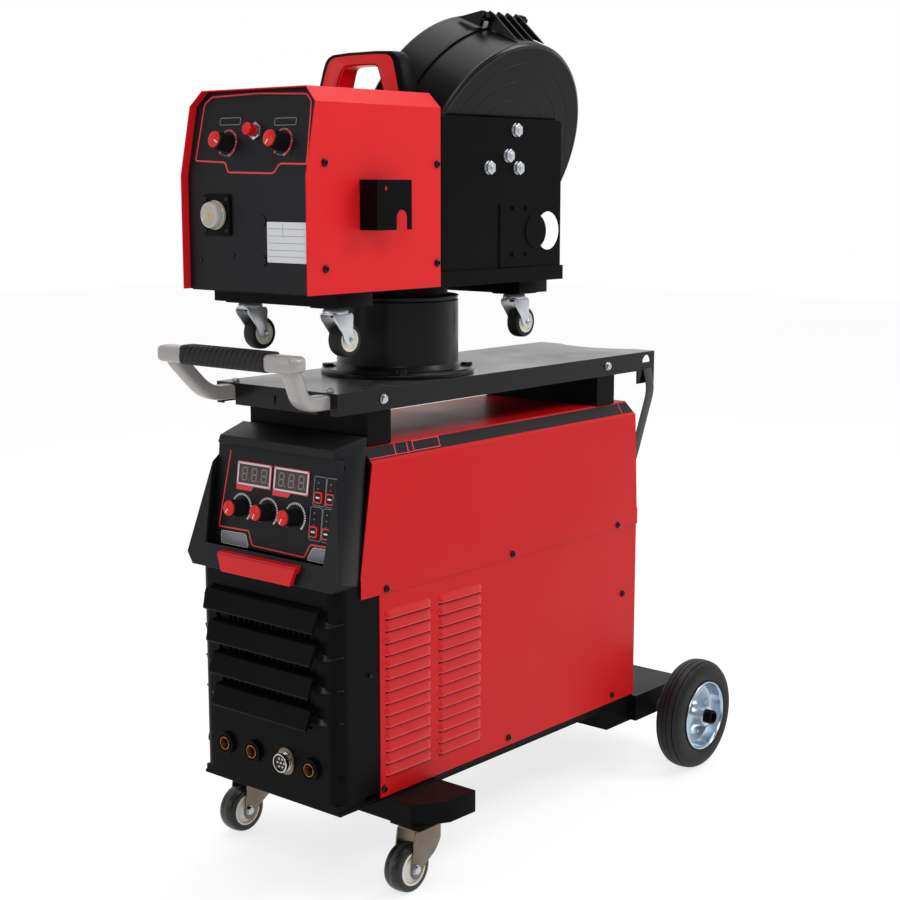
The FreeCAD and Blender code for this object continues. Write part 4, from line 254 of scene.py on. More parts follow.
def lathe(name, profile, centre, axis, material, body, steps, ring=False):
    """Turns a profile of (place along the axis, radius) about an axis through a centre."""
    profile = np.asarray(profile, float) / 1000
    axis, turn = unit(axis), whole_turn(steps)
    first, second = square_to(axis)
    around = np.cos(turn)[:, None] * first + np.sin(turn)[:, None] * second
    grid = np.asarray(centre) + profile[:, 0, None, None] * axis + profile[:, 1, None, None] * around
    return piece(name, grid.reshape(-1, 3), grid_faces(len(profile), steps, ring).tolist(), material, body)


def mitre(before, after, least):
    """The mean of two sides' normals, made longer at a corner so that a band keeps its width there."""
    mean = 0
    for way in (before, after):
        mean += np.stack([-way[:, 1], way[:, 0]], 1) / np.maximum(np.linalg.norm(way, axis=1), 1e-9)[:, None]
    return mean / np.maximum((mean * mean).sum(1) / 2, least)[:, None]


def inset(outline, distance):
    """Moves each corner of a closed outline inwards along the mean of its two sides' normals."""
    outline = np.asarray(outline, float)
    before, after = outline - np.roll(outline, 1, 0), np.roll(outline, -1, 0) - outline
    area = np.sum(outline[:, 0] * np.roll(outline[:, 1], -1) - np.roll(outline[:, 0], -1) * outline[:, 1])
    return outline + mitre(before, after, 0.35) * distance * np.sign(area)


class Face:
    """A flat place on the machine: an origin, a direction to the right, one upwards and one outwards."""

    def __init__(self, origin, right, up):
        self.origin = np.asarray(origin, float)
        self.right = np.asarray(right, float)
        self.up = np.asarray(up, float)
        self.out = np.cross(self.right, self.up)

    def at(self, points, out=0.0):
        """Places in millimetres along right and up, at a height out of the face, as metres."""
        points = np.atleast_2d(np.asarray(points, float)) / 1000
        return self.origin + points[:, :1] * self.right + points[:, 1:2] * self.up + out / 1000 * self.out


def plate(name, outline, face, low, high, material, body, rim=0.0):
    """Gives an outline a thickness from low to high out of a face, with its front rim drawn in."""
    rings = [face.at(outline, low), face.at(outline, high - rim)]
    if rim:
        rings.append(face.at(inset(outline, rim * 0.35), high - rim * 0.35))
        rings.append(face.at(inset(outline, rim), high))
    return sweep(name, rings, material, body)


def stroke(name, path, width, face, low, high, material, body, closed=True):
    """Lays a band of even width along a path on a face, a rectangle swept along it."""
    path = np.asarray(path, float)
    before, after = path - np.roll(path, 1, 0), np.roll(path, -1, 0) - path
    if not closed:
        before[0], after[-1] = after[0], before[-1]
    half = mitre(before, after, 0.3) * width / 2
    left, right = path + half, path - half
    rings = [face.at(left, low), face.at(left, high), face.at(right, high), face.at(right, low)]
    return sweep(name, np.stack(rings, 1), material, body, loop=closed)


def rectangle(x, z, width, height):
    """The corners of an upright rectangle about its middle."""
    w, h = width / 2, height / 2
    return np.array([(x - w, z - h), (x + w, z - h), (x + w, z + h), (x - w, z + h)])


def circle(x, z, radius, steps):
    """Points round a circle."""
    turn = whole_turn(steps)
    return np.stack([x + radius * np.cos(turn), z + radius * np.sin(turn)], 1)


print("helpers ready")

# %% [markdown]
# ## One effect for every finish
# Paint, plastic and metal differ in colour and gloss, but all of them drift a little from place to
# place and all have a fine skin. The group `finish` gives both: a slow noise blends two colours and
# shifts the roughness, and a fast noise is the height that a Bump node reads. A second group,
# `dust_and_reflection`, pales what faces upwards: dust on most finishes, and on the tray's top a painted
# reflection of the backdrop.

# %% Shared node groups
def node_group(name, inputs, outputs):
    """An empty shader group with named sockets, each given as a name, a type and a start value."""
    group = bpy.data.node_groups.new(name, "ShaderNodeTree")
    for label, kind, value in inputs:
        group.interface.new_socket(label, in_out="INPUT", socket_type=kind).default_value = value
    for label, kind in outputs:
        group.interface.new_socket(label, in_out="OUTPUT", socket_type=kind)
    return group, group.nodes.new("NodeGroupInput"), group.nodes.new("NodeGroupOutput")


FLOAT, COLOUR = "NodeSocketFloat", "NodeSocketColor"
DUST_AND_REFLECTION_COLOUR, DUST_AND_REFLECTION_SCALE = (0.62, 0.6, 0.57, 1), 30


def make_finish():
    """Slow noise blends two colours and moves roughness between low and high; fast noise is the height."""
    group, into, out = node_group(
        "finish",
        [("Colour", COLOUR, (0.5, 0.5, 0.5, 1)), ("Second Colour", COLOUR, (0.4, 0.4, 0.4, 1)),
         ("Patch Scale", FLOAT, 6), ("Roughness", FLOAT, 0.4), ("Spread", FLOAT, 0.1),
         ("Grain Scale", FLOAT, 600)],
        [("Colour", COLOUR), ("Roughness", FLOAT), ("Height", FLOAT)])
    place, blend = add(group, "TexCoord"), add(group, "Mix", data_type="RGBA")
    patch, grain = add(group, "TexNoise", {"Detail": 5}), add(group, "TexNoise", {"Detail": 3})
    gloss = add(group, "MapRange", {"From Min": 0.3, "From Max": 0.7})
    low, high = add(group, "Math", operation="SUBTRACT"), add(group, "Math", operation="ADD")
    for noise, scale in ((patch, "Patch Scale"), (grain, "Grain Scale")):
        wire(group, (place, "Object", noise, "Vector"), (into, scale, noise, "Scale"))
    for step, socket in ((low, "To Min"), (high, "To Max")):
        wire(group, (into, "Roughness", step, 0), (into, "Spread", step, 1), (step, 0, gloss, socket))
    wire(group, (patch, "Fac", blend, "Factor"), (into, "Colour", blend, "A"),
         (into, "Second Colour", blend, "B"), (patch, "Fac", gloss, "Value"),
         (blend, "Result", out, "Colour"), (gloss, "Result", out, "Roughness"),
         (grain, "Fac", out, "Height"))
    return group


def make_dust_and_reflection():
    """Blends in a pale colour by amount times noise times how far a face looks upwards: dust, and on the
    tray's top a painted reflection.
    """
    group, into, out = node_group(
        "dust_and_reflection", [("Colour", COLOUR, (0.5, 0.5, 0.5, 1)), ("Amount", FLOAT, 0.1)], [("Colour", COLOUR)])
    split, rise = add(group, "SeparateXYZ"), add(group, "MapRange", {"From Min": 0.6})
    noise = add(group, "TexNoise", {"Scale": DUST_AND_REFLECTION_SCALE})
    times, share = add(group, "Math", operation="MULTIPLY"), add(group, "Math", operation="MULTIPLY")
    blend = add(group, "Mix", data_type="RGBA")
    blend.inputs["B"].default_value = DUST_AND_REFLECTION_COLOUR
    wire(group, (add(group, "NewGeometry"), "Normal", split, "Vector"), (split, "Z", rise, "Value"),
         (add(group, "TexCoord"), "Object", noise, "Vector"), (rise, "Result", times, 0),
         (noise, "Fac", times, 1), (times, 0, share, 0), (into, "Amount", share, 1),
         (share, 0, blend, "Factor"), (into, "Colour", blend, "A"), (blend, "Result", out, "Colour"))
    return group


FINISH, DUST_AND_REFLECTION = make_finish(), make_dust_and_reflection()
print("groups:", FINISH.name, DUST_AND_REFLECTION.name)

# %% [markdown]
# ## The finishes
# A colour is written as it would be read off a paint card, from 0 to 255, and turned into the linear
# value that a shader wants. What is the same all over, such as metallic or coat, is set on the
# Principled shader itself.

# %% Finishes
DARKER, COAT_ROUGH = 0.9, 0.12


def linear(red, green, blue):
    """A colour from 0 to 255 as linear light."""
    share = np.array([red, green, blue]) / 255
    light = np.where(share <= 0.04045, share / 12.92, ((share + 0.055) / 1.055) ** 2.4)
    return (*light.tolist(), 1.0)


def finish(name, colour, second=None, rough=0.4, spread=0.06, patch=6, grain=700, bump=0.02, dust_and_reflection=0.0,
           metallic=0.0, coat=0.0, specular=0.5, sheen=0.0, glow=0.0):
    """A material: the finish group, dust and painted reflection on faces that look up, a fine bump, and the
    shader's own values.
    """
    material = bpy.data.materials.new(name)
    material.use_nodes = True
    tree = material.node_tree
    shader = tree.nodes["Principled BSDF"]
    group = add(tree, "Group", node_tree=FINISH, inputs={
        "Colour": linear(*colour), "Second Colour": linear(*(second or [c * DARKER for c in colour])),
        "Patch Scale": patch, "Roughness": rough, "Spread": spread, "Grain Scale": grain})
    tinted = group
    if dust_and_reflection:
        tinted = add(tree, "Group", node_tree=DUST_AND_REFLECTION, inputs={"Amount": dust_and_reflection})
        wire(tree, (group, "Colour", tinted, "Colour"))
    relief = add(tree, "Bump", {"Strength": 1.0, "Distance": bump / 1000})
    wire(tree, (group, "Height", relief, "Height"), (relief, "Normal", shader, "Normal"),
         (tinted, "Colour", shader, "Base Color"), (group, "Roughness", shader, "Roughness"))
    for socket, value in (("Metallic", metallic), ("Coat Weight", coat), ("Coat Roughness", COAT_ROUGH),
                          ("Specular IOR Level", specular), ("Sheen Weight", sheen)):
        shader.inputs[socket].default_value = value
    if glow:
        wire(tree, (tinted, "Colour", shader, "Emission Color"))
        shader.inputs["Emission Strength"].default_value = glow
    return material


case_red = finish("case_red", (200, 17, 21), (192, 14, 18), rough=0.4, bump=0.03, grain=900, specular=0.16)
feeder_red = finish("feeder_red", (220, 28, 34), (213, 24, 30), rough=0.4, bump=0.03, grain=900,
                    specular=0.2)
black_paint = finish("black_paint", (7, 7, 8), (9, 9, 10), rough=0.34, bump=0.04, grain=1100, dust_and_reflection=0.02,
                     specular=0.05)
pedestal_black = finish("pedestal_black", (9, 9, 10), (12, 12, 13), rough=0.28, bump=0.03, grain=500,
                        dust_and_reflection=0.03, specular=0.2)
black_plastic = finish("black_plastic", (7, 7, 7), (9, 9, 9), rough=0.36, bump=0.04, grain=1600, dust_and_reflection=0.01,
                       specular=0.05)
shell_plastic = finish("shell_plastic", (12, 12, 13), (9, 9, 10), rough=0.34, bump=0.03, grain=1300,
                       dust_and_reflection=0.008, specular=0.13)
fascia_black = finish("fascia_black", (19, 20, 23), (22, 23, 26), rough=0.36, bump=0.015, grain=1500,
                      specular=0.14)
# The tray's top is paled by a large dust_and_reflection amount: partly dust, partly a painted reflection of
# the bright backdrop.
gloss_black = finish("gloss_black", (10, 9, 9), (13, 12, 12), rough=0.26, bump=0.03, grain=1100, dust_and_reflection=0.16,
                     specular=0.2)
cast_grey = finish("cast_grey", (156, 152, 150), (146, 142, 140), rough=0.3, bump=0.03, grain=500, coat=0.3)
grip_foam = finish("grip_foam", (12, 12, 13), (17, 17, 18), rough=0.6, bump=0.12, grain=420, specular=0.3)
tyre_rubber = finish("tyre_rubber", (20, 20, 21), (14, 14, 15), rough=0.6, bump=0.12, grain=380, dust_and_reflection=0.06,
                     specular=0.3)
tyre_crumb = finish("tyre_crumb", (12, 12, 13), (44, 43, 43), rough=0.3, spread=0.1, patch=220, bump=0.1,
                    grain=300, specular=0.3)
crumb_band = finish("crumb_band", (62, 62, 58), (30, 30, 28), rough=0.45, patch=160, bump=0.1, grain=300)
zinc = finish("zinc", (200, 204, 210), (168, 178, 190), rough=0.28, spread=0.1, patch=40, metallic=1.0)
blue_zinc = finish("blue_zinc", (164, 180, 198), (190, 202, 210), rough=0.24, spread=0.08, patch=14,
                   metallic=1.0)
steel = finish("steel", (190, 190, 192), (150, 150, 154), rough=0.3, patch=60, metallic=1.0)
black_screw = finish("black_screw", (18, 18, 20), (28, 28, 30), rough=0.3, patch=80, metallic=0.6)
brass = finish("brass", (178, 136, 78), (156, 114, 62), rough=0.3, patch=70, metallic=1.0)
ivory = finish("ivory", (222, 218, 208), (210, 205, 194), rough=0.32, patch=30, coat=0.2)
red_plastic = finish("red_plastic", (206, 20, 26), (196, 17, 22), rough=0.34, grain=1200, specular=0.2,
                     coat=0.1)
print_red = finish("print_red", (226, 44, 58), rough=0.45)
print_white = finish("print_white", (228, 228, 230), rough=0.5)
print_grey = finish("print_grey", (128, 130, 134), rough=0.5)
label_silver = finish("label_silver", (206, 208, 212), (196, 198, 204), rough=0.34, metallic=0.2)
display_glass = finish("display_glass", (66, 46, 48), (58, 40, 42), rough=0.12, coat=0.6)
display_digit = finish("display_digit", (118, 112, 111), rough=0.4)
socket_black = finish("socket_black", (12, 12, 13), (18, 18, 19), rough=0.5)
# Dark red for the strips under the louvre lips: painted shadow.
lip_shadow_dark = finish("lip_shadow_dark", (22, 3, 4), (16, 2, 3), rough=0.6, specular=0.1)
inner_black = finish("inner_black", (6, 6, 7), (8, 8, 9), rough=0.7, specular=0.05)
winding = finish("winding", (178, 108, 62), (150, 88, 50), rough=0.3, patch=50, metallic=1.0)
aluminium = finish("aluminium", (178, 180, 184), (160, 162, 166), rough=0.4, patch=40, metallic=1.0)
cap_white = finish("cap_white", (176, 173, 160), (160, 157, 144), rough=0.24, patch=60, coat=0.4)
amber = finish("amber", (196, 158, 96), (182, 140, 78), rough=0.3, patch=60, coat=0.3)
copper_dark = finish("copper_dark", (84, 46, 28), (62, 30, 20), rough=0.5, patch=60, metallic=0.6)
chrome = finish("chrome", (206, 202, 196), (184, 180, 174), rough=0.16, patch=50, metallic=1.0)
hood_plastic = finish("hood_plastic", (25, 26, 28), (21, 22, 24), rough=0.4, bump=0.03, grain=1500,
                      dust_and_reflection=0.03, specular=0.16)
fork_steel = finish("fork_steel", (126, 115, 103), (104, 95, 85), rough=0.34, patch=50, metallic=1.0)
bright_zinc = finish("bright_zinc", (216, 218, 222), (190, 194, 200), rough=0.36, patch=60, metallic=0.8)
louvre_red = finish("louvre_red", (204, 18, 22), (196, 15, 19), rough=0.3, bump=0.02, grain=900, coat=0.35,
                    specular=0.3)
webbing = finish("webbing", (24, 24, 26), (16, 16, 18), rough=0.7, bump=0.1, grain=700, sheen=0.2)
# A lighter black than the shells, for the cover's rim and the grille's wings: a painted highlight on edges
# that catch the light.
lit_edge_black = finish("lit_edge_black", (24, 24, 26), (20, 20, 22), rough=0.28, bump=0.01, grain=900, specular=0.3)
floor_pale = finish("floor_pale", (150, 150, 150), (148, 148, 148), rough=0.8, spread=0.02, patch=0.4,
                    grain=20, glow=2.5)
floor.data.materials.append(floor_pale)
print(len(bpy.data.materials), "materials")

# %% [markdown]
# ## Finishes on the frame's own pieces
# A node whose shape is right keeps its mesh and gets a material. The others are replaced further down
# by finer pieces, so they aren't in this table.

# %% Dress the nodes
def dress(material, *names):
    """Gives CAD nodes a material in place of the plain one they came with."""
    for name in names:
        mesh = nodes[name].data
        mesh.materials.clear()
        mesh.materials.append(material)


DRESSED = ((case_red, "side_panel_right", "side_panel_left"), (hood_plastic, "rear_panel"),
           (black_plastic, "fan_rotor", "switch_lever"),
           (shell_plastic, "spool_cover_right", "spool_cover_left"),
           (fascia_black, "control_panel", "feeder_front", "knob_current", "knob_voltage", "knob_arc",
            "feeder_knob_left", "feeder_knob_right"),
           (red_plastic, "inching_button", *[f"panel_key_{n}" for n in range(1, 5)]),
           (zinc, "rear_axle", "spool_spindle"), (aluminium, "power_module", "drive_unit"))
for row in DRESSED:
    dress(*row)
print("dressed", sum(len(row) - 1 for row in DRESSED), "nodes")

# %% [markdown]
# ## The control panel's print
# The panel leans back, so its print is laid out in two directions of its own: along X and up the
# slope. Outlines are thin plates a few tenths of a millimetre high, which is how a screen-printed
# overlay with embossed keys feels under a finger.

# %% Faces of the machine
def leaning(x, y, z, lean):
    """A face that looks at the user and leans back by some degrees."""
    return Face(mm(x, y, z), RIGHT, (0, sin(radians(lean)), cos(radians(lean))))


PANEL = leaning(0, -64, 592, 7.07)
FEEDER_FRONT, FEEDER_LEAN = -107.6, 11.4
FEEDER_FACE = leaning(0, FEEDER_FRONT, 1068, FEEDER_LEAN)
FEEDER_FLAT = leaning(0, FEEDER_FRONT, 0, 0)
KNOB_ROW, KNOB_OUT = -21.6, 26.0
print("faces set")

# %% Panel outline and corner inserts
PRINT = 0.25
panel_line = fillet([(-104.9, 62.9), (-119.7, -55.9), (-53.5, -54.5), (-43.5, -75.6), (67.8, -77.3),
                     (78.8, -57.1), (121.5, -55.9)], 3, closed=False)
stroke("panel_red_line", panel_line, 2.2, PANEL, 0, PRINT, print_red, "root", closed=False)
for name, corners in (("left", [(-112.6, -62.5), (-59.2, -61.4), (-52.4, -79.4), (-110.7, -79.4)]),
                      ("right", [(85, -61.6), (122.1, -60.4), (121.3, -79.4), (75.3, -79.4)])):
    outline = fillet(corners, 3.5)
    plate(f"panel_insert_{name}", outline, PANEL, 0, 0.8, print_grey, "root", rim=0.3)
    stroke(f"panel_insert_{name}_edge", inset(outline, -0.9), 0.9, PANEL, 0, 0.5, label_silver, "root")
print("outline and inserts laid")

# %% [markdown]
# ## Two three-digit displays
# Unlit seven-segment digits show as grey bars behind smoked glass. One function draws a digit from
# seven bars with pointed ends, and a loop sets three in each window.

# %% Displays
DIGIT_W, DIGIT_H, BAR, DIGIT_STEP, DISPLAY_Z = 12.0, 21.0, 2.2, 21, 31


def segment(start, end):
    """A bar with pointed ends between two points."""
    start, end = np.array(start, float), np.array(end, float)
    along = unit(end - start)
    side = np.array([-along[1], along[0]]) * BAR / 2
    a, b = start + along * BAR * 0.55, end - along * BAR * 0.55
    tip = along * BAR * 0.45
    return np.array([a - tip, a + side, b + side, b + tip, b - side, a - side])


def digit_bars(x, z):
    """The seven bars of a digit about its middle."""
    w, h = DIGIT_W / 2 - 1, DIGIT_H / 2 - 1
    posts = [(-w, h), (w, h), (w, 0), (w, -h), (-w, -h), (-w, 0)]
    pairs = [(0, 1), (1, 2), (2, 3), (3, 4), (4, 5), (5, 0), (5, 2)]
    lean_over = np.array([[1, 0], [0.06, 1]])
    return [segment(posts[a], posts[b]) @ lean_over + (x, z) for a, b in pairs]


def many_plates(name, outlines, face, low, high, material, body):
    """Several flat outlines as one piece."""
    forms = [[face.at(outline, low), face.at(outline, high)] for outline in outlines]
    return several(name, forms, material, body)


for name, centre in (("current", -48.8), ("voltage", 30.8)):
    window = fillet(rectangle(centre, DISPLAY_Z, 73.6, 35.6), 1.5)
    glass = rectangle(centre, DISPLAY_Z, 67, 29)
    middles = [centre + step * DIGIT_STEP for step in (-1, 0, 1)]
    stroke(f"display_{name}_edge", window, 1.3, PANEL, 0.9, 1.5, print_red, "root")
    stroke(f"display_{name}_frame", inset(window, 2.0), 2.6, PANEL, 0.9, 1.8, label_silver, "root")
    plate(f"display_{name}_glass", glass, PANEL, 0.9, 1.2, display_glass, "root")
    bars = [bar for x in middles for bar in digit_bars(x, DISPLAY_Z)]
    dots = [circle(x + 8.4, 21.8, 1.2, 12) for x in middles]
    many_plates(f"display_{name}_digits", bars + dots, PANEL, 1.15, 1.3, display_digit, "root")
    left = centre - 38.5
    tab = [(left, 13.6), (left, 5.4), (left + 33, 5.4), (left + 39, 13.6)]
    plate(f"display_{name}_tab", tab, PANEL, 0, PRINT + 0.1, print_red, "root")
print("displays built")

# %% [markdown]
# ## Knobs, scales and keys
# Each dial's body is the frame's own fluted piece. It gets a red cap with a white pointer that turn
# with it, and a scale of ticks printed round it that stays put. Keys carry a red outline and a dash,
# which travel with the key.

# %% Dials and keys
CAP_RADIUS, TICKS, FIRST_TICK, SCALE_TURN = 11.6, 28, 225, 270
TICK_IN, TICK_OUT, TICK_HALF = 19.2, 22.4, 0.55


def dial(name, face, x, z, body, fixed, turn, scale=True):
    """A red cap and pointer on a knob, and the ticks round it."""
    plate(f"{name}_cap", circle(x, z, CAP_RADIUS, 40), face, KNOB_OUT - 0.3, KNOB_OUT + 1.1, red_plastic,
          body, rim=0.6)
    way = np.array([cos(radians(turn)), sin(radians(turn))])
    line = np.array([(x, z) + way * 2, (x, z) + way * 10])
    stroke(f"{name}_pointer", line, 1.4, face, KNOB_OUT + 1.0, KNOB_OUT + 1.35, print_white, body, False)
    if not scale:
        return
    ticks = []
    for share in np.linspace(0, 1, TICKS):
        angle = radians(FIRST_TICK - SCALE_TURN * share)
        out, side = np.array([cos(angle), sin(angle)]), np.array([-sin(angle), cos(angle)])
        half = side * TICK_HALF * (1 + share)
        inner, outer = (x, z) + out * TICK_IN, (x, z) + out * TICK_OUT
        ticks.append(np.array([inner - half, outer - half * 1.2, outer + half * 1.2, inner + half]))
    many_plates(f"{name}_scale", ticks, face, 0, PRINT, print_white, fixed)


for name, x, turn in (("current", -72.5, 230), ("voltage", -15.4, 250), ("arc", 42.9, 245)):
    dial(f"knob_{name}", PANEL, x, KNOB_ROW, f"{name}_dial", "root", turn)

KEYS = ((89.6, 13.5), (113.8, 13.5), (84.8, -37.4), (111.1, -37.4))
KEY_FRAMES = ((77.6, 1.5, 101.8, 44), (103.2, 1.5, 124.5, 44), (74, -50, 98, -1), (99.6, -50, 122.5, -1))
KEY_OUT, KEY_SIZE, KEY_RING = 3.0, 13.5, 14.6
for number, (x, z) in enumerate(KEYS, start=1):
    body = f"key_{number}"
    top = fillet(rectangle(x, z, KEY_SIZE, KEY_SIZE), 3)
    ring = fillet(rectangle(x, z, KEY_RING, KEY_RING), 4)
    plate(f"{body}_top", top, PANEL, KEY_OUT, KEY_OUT + 0.3, fascia_black, body)
    stroke(f"{body}_ring", ring, 1.5, PANEL, KEY_OUT - 0.1, KEY_OUT + 0.5, print_red, body)
    dash = rectangle(x, z, 7.5, 2.4)
    plate(f"{body}_dash", dash, PANEL, KEY_OUT + 0.2, KEY_OUT + 0.6, print_white, body)
for number, (left, low, right, high) in enumerate(KEY_FRAMES, start=1):
    box_outline = fillet(rectangle((left + right) / 2, (low + high) / 2, right - left, high - low), 4)
    stroke(f"key_frame_{number}", box_outline, 0.9, PANEL, 0, PRINT, print_grey, "root")
    lamps = [circle(left + 8.5, high - 9 - 9 * k, 1.3, 12) for k in range(2 if number < 3 else 3)]
    many_plates(f"key_lamps_{number}", lamps, PANEL, 0, 0.5, display_digit, "root")
print("dials and keys dressed")

# %% [markdown]
# ## The wire feeder's face and the stripe on the case
# The feeder's face leans back too. A red line frames its overlay, and a ring of red and grey bars
# grows thicker round each knob. The case has a dark stripe on the slope of its cover, on both sides.
# The stripe is one list of points, and the left side takes the same list mirrored.

# %% Feeder print
overlay = fillet([(-115.8, 21.9), (-111.7, 104.9), (-97.6, 115.2), (0.3, 117.4), (98.6, 113.5), (109.5, 103),
                  (116.0, 15.3), (62.8, 16.4), (51.7, 2.6), (-42.6, 4.5), (-51.1, 18.9)], 4)
stroke("feeder_red_line", overlay, 2.4, FEEDER_FACE, 0, PRINT, print_red, "feeder")
for name, (x, z) in (("left", (-51.4, 78.5)), ("right", (63.2, 75.6))):
    stroke(f"feeder_label_frame_{name}", fillet(rectangle(x, z, 43, 10), 2.5), 0.9, FEEDER_FACE, 0, PRINT,
           print_grey, "feeder")


ARC_BARS, ARC_START, BAR_STEP, BAR_SPAN, ARC_IN, ARC_OUT, ARC_GROWTH = 16, 118, 12.2, 9.6, 17.2, 19.4, 1.6
FEEDER_KNOB_Z = 47


def arc_outline(x, z, inner, outer, angles):
    """The outline between two arcs about a place, over some angles in degrees."""
    ring = [(inner, a) for a in angles] + [(outer, a) for a in reversed(angles)]
    return np.array([(x + radius * cos(radians(a)), z + radius * sin(radians(a))) for radius, a in ring])


def banded_arc(name, face, x, z, body):
    """A ring of red and grey bars round a knob, thicker towards its end."""
    red, grey = [], []
    for step in range(ARC_BARS):
        start = ARC_START - step * BAR_STEP
        outer = ARC_OUT + ARC_GROWTH * step / (ARC_BARS - 1)
        bar = arc_outline(x, z, ARC_IN, outer, list(np.linspace(start, start - BAR_SPAN, 4)))
        (red if step % 3 else grey).append(bar)
    red.append(arc_outline(x, z, 17, 21, [222, 232]))
    many_plates(f"{name}_red_arc", red, face, 0, PRINT, print_red, body)
    many_plates(f"{name}_grey_arc", grey, face, 0, PRINT, print_grey, body)
    span = np.radians(np.linspace(236, 300, 12))
    line = np.column_stack([x + 18.5 * np.cos(span), z + 18.5 * np.sin(span)])
    stroke(f"{name}_thin_arc", line, 0.7, face, 0, PRINT, print_grey, body, closed=False)


for name, x, turn in (("left", -52, 330), ("right", 62, 238)):
    banded_arc(f"feeder_scale_{name}", FEEDER_FACE, x, FEEDER_KNOB_Z, "feeder")
    dial(f"feeder_knob_{name}", FEEDER_FACE, x, FEEDER_KNOB_Z, f"feeder_dial_{name}", "feeder", turn,
         scale=False)

plate("rating_plate", rectangle(77, 974.5, 78, 57), FEEDER_FLAT, 0, 0.4, label_silver, "feeder")
rules = [rectangle(77, 974.5 + row, 74, 0.7) for row in (19, 9, -1, -11, -20)]
rules.append(rectangle(70, 990, 0.7, 20))
many_plates("rating_plate_rules", rules, FEEDER_FLAT, 0.35, 0.5, print_grey, "feeder")
print("feeder print laid")

# %% Stripe on the cover's slope
SLOPE_LOW, SLOPE_HIGH = np.array([144, 653.6]), np.array([121, 676])
slope = unit(SLOPE_HIGH - SLOPE_LOW)
STRIPE = [(-8, 6.5), (674, 6.5), (674, 28.5), (-3, 28.5)]
LINES = {"line_1": [(50, 7), (61, 28)], "line_2": [(78, 7), (89, 28)], "line_3": [(640, 7), (648, 28)],
         "window": [(92, 9.5), (152, 9.5), (161, 27.5), (101, 27.5)], "edge": [(-6, 9), (90, 9)]}
for side, name in SIDES:
    face = Face(mm(side * SLOPE_LOW[0], 0, SLOPE_LOW[1]), (0, side, 0), (slope[0] * side, 0, slope[1]))
    plate(f"stripe_{name}", [(side * y, v) for y, v in STRIPE], face, 0.1, 0.45, fascia_black, "root")
    for part, path in LINES.items():
        path, width = [(side * y, v) for y, v in path], 1.3 if part == "edge" else 1.6
        stroke(f"stripe_{name}_{part}", path, width, face, 0.3, 0.6, print_red, "root",
               closed=part == "window")
print("stripe laid on both slopes")

# %% [markdown]
# ## Screws and bolts
# One routine revolves a profile round many axes at once, so a whole family of fasteners is a single
# piece. A profile point marked as hex follows a hexagon instead of a circle, which gives sockets and
# bolt heads their flats.

# %% Fasteners
def fasteners(name, spots, profile, material, body, sides=24):
    """Revolved heads at spots, each a place in mm and the direction that it faces."""
    angles = whole_turn(sides)
    hexagon = 1 / np.cos((angles + pi / 6) % (pi / 3) - pi / 6)
    heads = []
    for place, facing in spots:
        facing = unit(facing)
        side, other = square_to(facing)
        rings = []
        for height, radius, *shape in profile:
            reach = radius * (hexagon if shape else np.ones(sides))
            rings.append(mm(*place) + (np.outer(reach * np.cos(angles), side)
                                       + np.outer(reach * np.sin(angles), other) + facing * height) / 1000)
        heads.append(rings)
    return several(name, heads, material, body)


def both_sides(places, out=RIGHT):
    """Spots on the right and their mirror images on the left, with the direction that each faces."""
    return [((side * x, y, z), (side * out[0], *out[1:])) for side in (1, -1) for x, y, z in places]


SOCKET_HEAD = [(-1, 4.4), (0, 5.6), (1.6, 5.6), (3.0, 4.9), (3.7, 3.6), (3.8, 2.4, "hex"), (2.2, 2.2, "hex")]
HEX_BOLT = [(-1, 5), (0, 7.4), (0.9, 7.4), (1.0, 5.6, "hex"), (4.2, 5.6, "hex"), (4.9, 4.9), (5.0, 3.4),
            (4.6, 3.0)]
NUT = [(-1, 5), (0, 6.3, "hex"), (4.6, 6.3, "hex"), (5.2, 5.4), (5.2, 3.6), (6.8, 3.4), (7.2, 2.9)]
HUB_NUT = [(-0.5, 10.6), (1.4, 10.6), (1.5, 9.2, "hex"), (6.6, 9.2, "hex"), (7.4, 8.4), (7.4, 4.6),
           (9.6, 4.4), (10, 3.6)]
SMALL_HEAD = [(-0.6, 2.6), (0, 3.3), (1.2, 3.3), (2.0, 2.6), (2.2, 1.6, "hex"), (1.4, 1.4, "hex")]
BAND_SPOTS = [(151.8, y, 465) for y in (13, 315, 614)]
PANEL_SPOTS = [(150, 7, 156), (150, 309, 156), (150, 607, 156), (150, 634, 337)]
case_screws = both_sides(BAND_SPOTS + PANEL_SPOTS)
tray_bolts = both_sides([(128, 35, 744), (128, 610, 744)]) + both_sides([(100, -49, 760)], UP)
for name, spots, profile, metal in (("case_screws", case_screws, SOCKET_HEAD, black_screw),
                                    ("tray_bolts", tray_bolts, HEX_BOLT, zinc),
                                    ("handle_nuts", both_sides([(100, -49, 745)], DOWN), NUT, zinc)):
    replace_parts(fasteners(name, spots, profile, metal, "root"), "fasteners")
feeder_screws = both_sides([(130.6, y, z) for y in (-85, 153) for z in (1085, 938.5)])
fasteners("feeder_screws", feeder_screws, SOCKET_HEAD, black_screw, "feeder")
roof_screws = [((x, -62, 1190), UP) for x in (-62, 62)]
fasteners("feeder_roof_screws", roof_screws, SMALL_HEAD, zinc, "feeder")
face_spots = [(-34.2, FEEDER_FRONT, 953.4), (-105, FEEDER_FRONT, 944)]
face_spots += [(x, FEEDER_FRONT - 4, z) for x, z in ((-42, 1034), (-87, 989), (-42, 989), (-87, 1034))]
face_screws = [(place, FORWARD) for place in face_spots]
fasteners("feeder_face_screws", face_screws, SMALL_HEAD, black_screw, "feeder")
hub_nuts = [((124, y, z), RIGHT) for y, z in ((352, 1140), (284, 1081), (357, 1081), (332, 1100))]
fasteners("side_plate_nuts", hub_nuts, HUB_NUT, bright_zinc, "feeder")
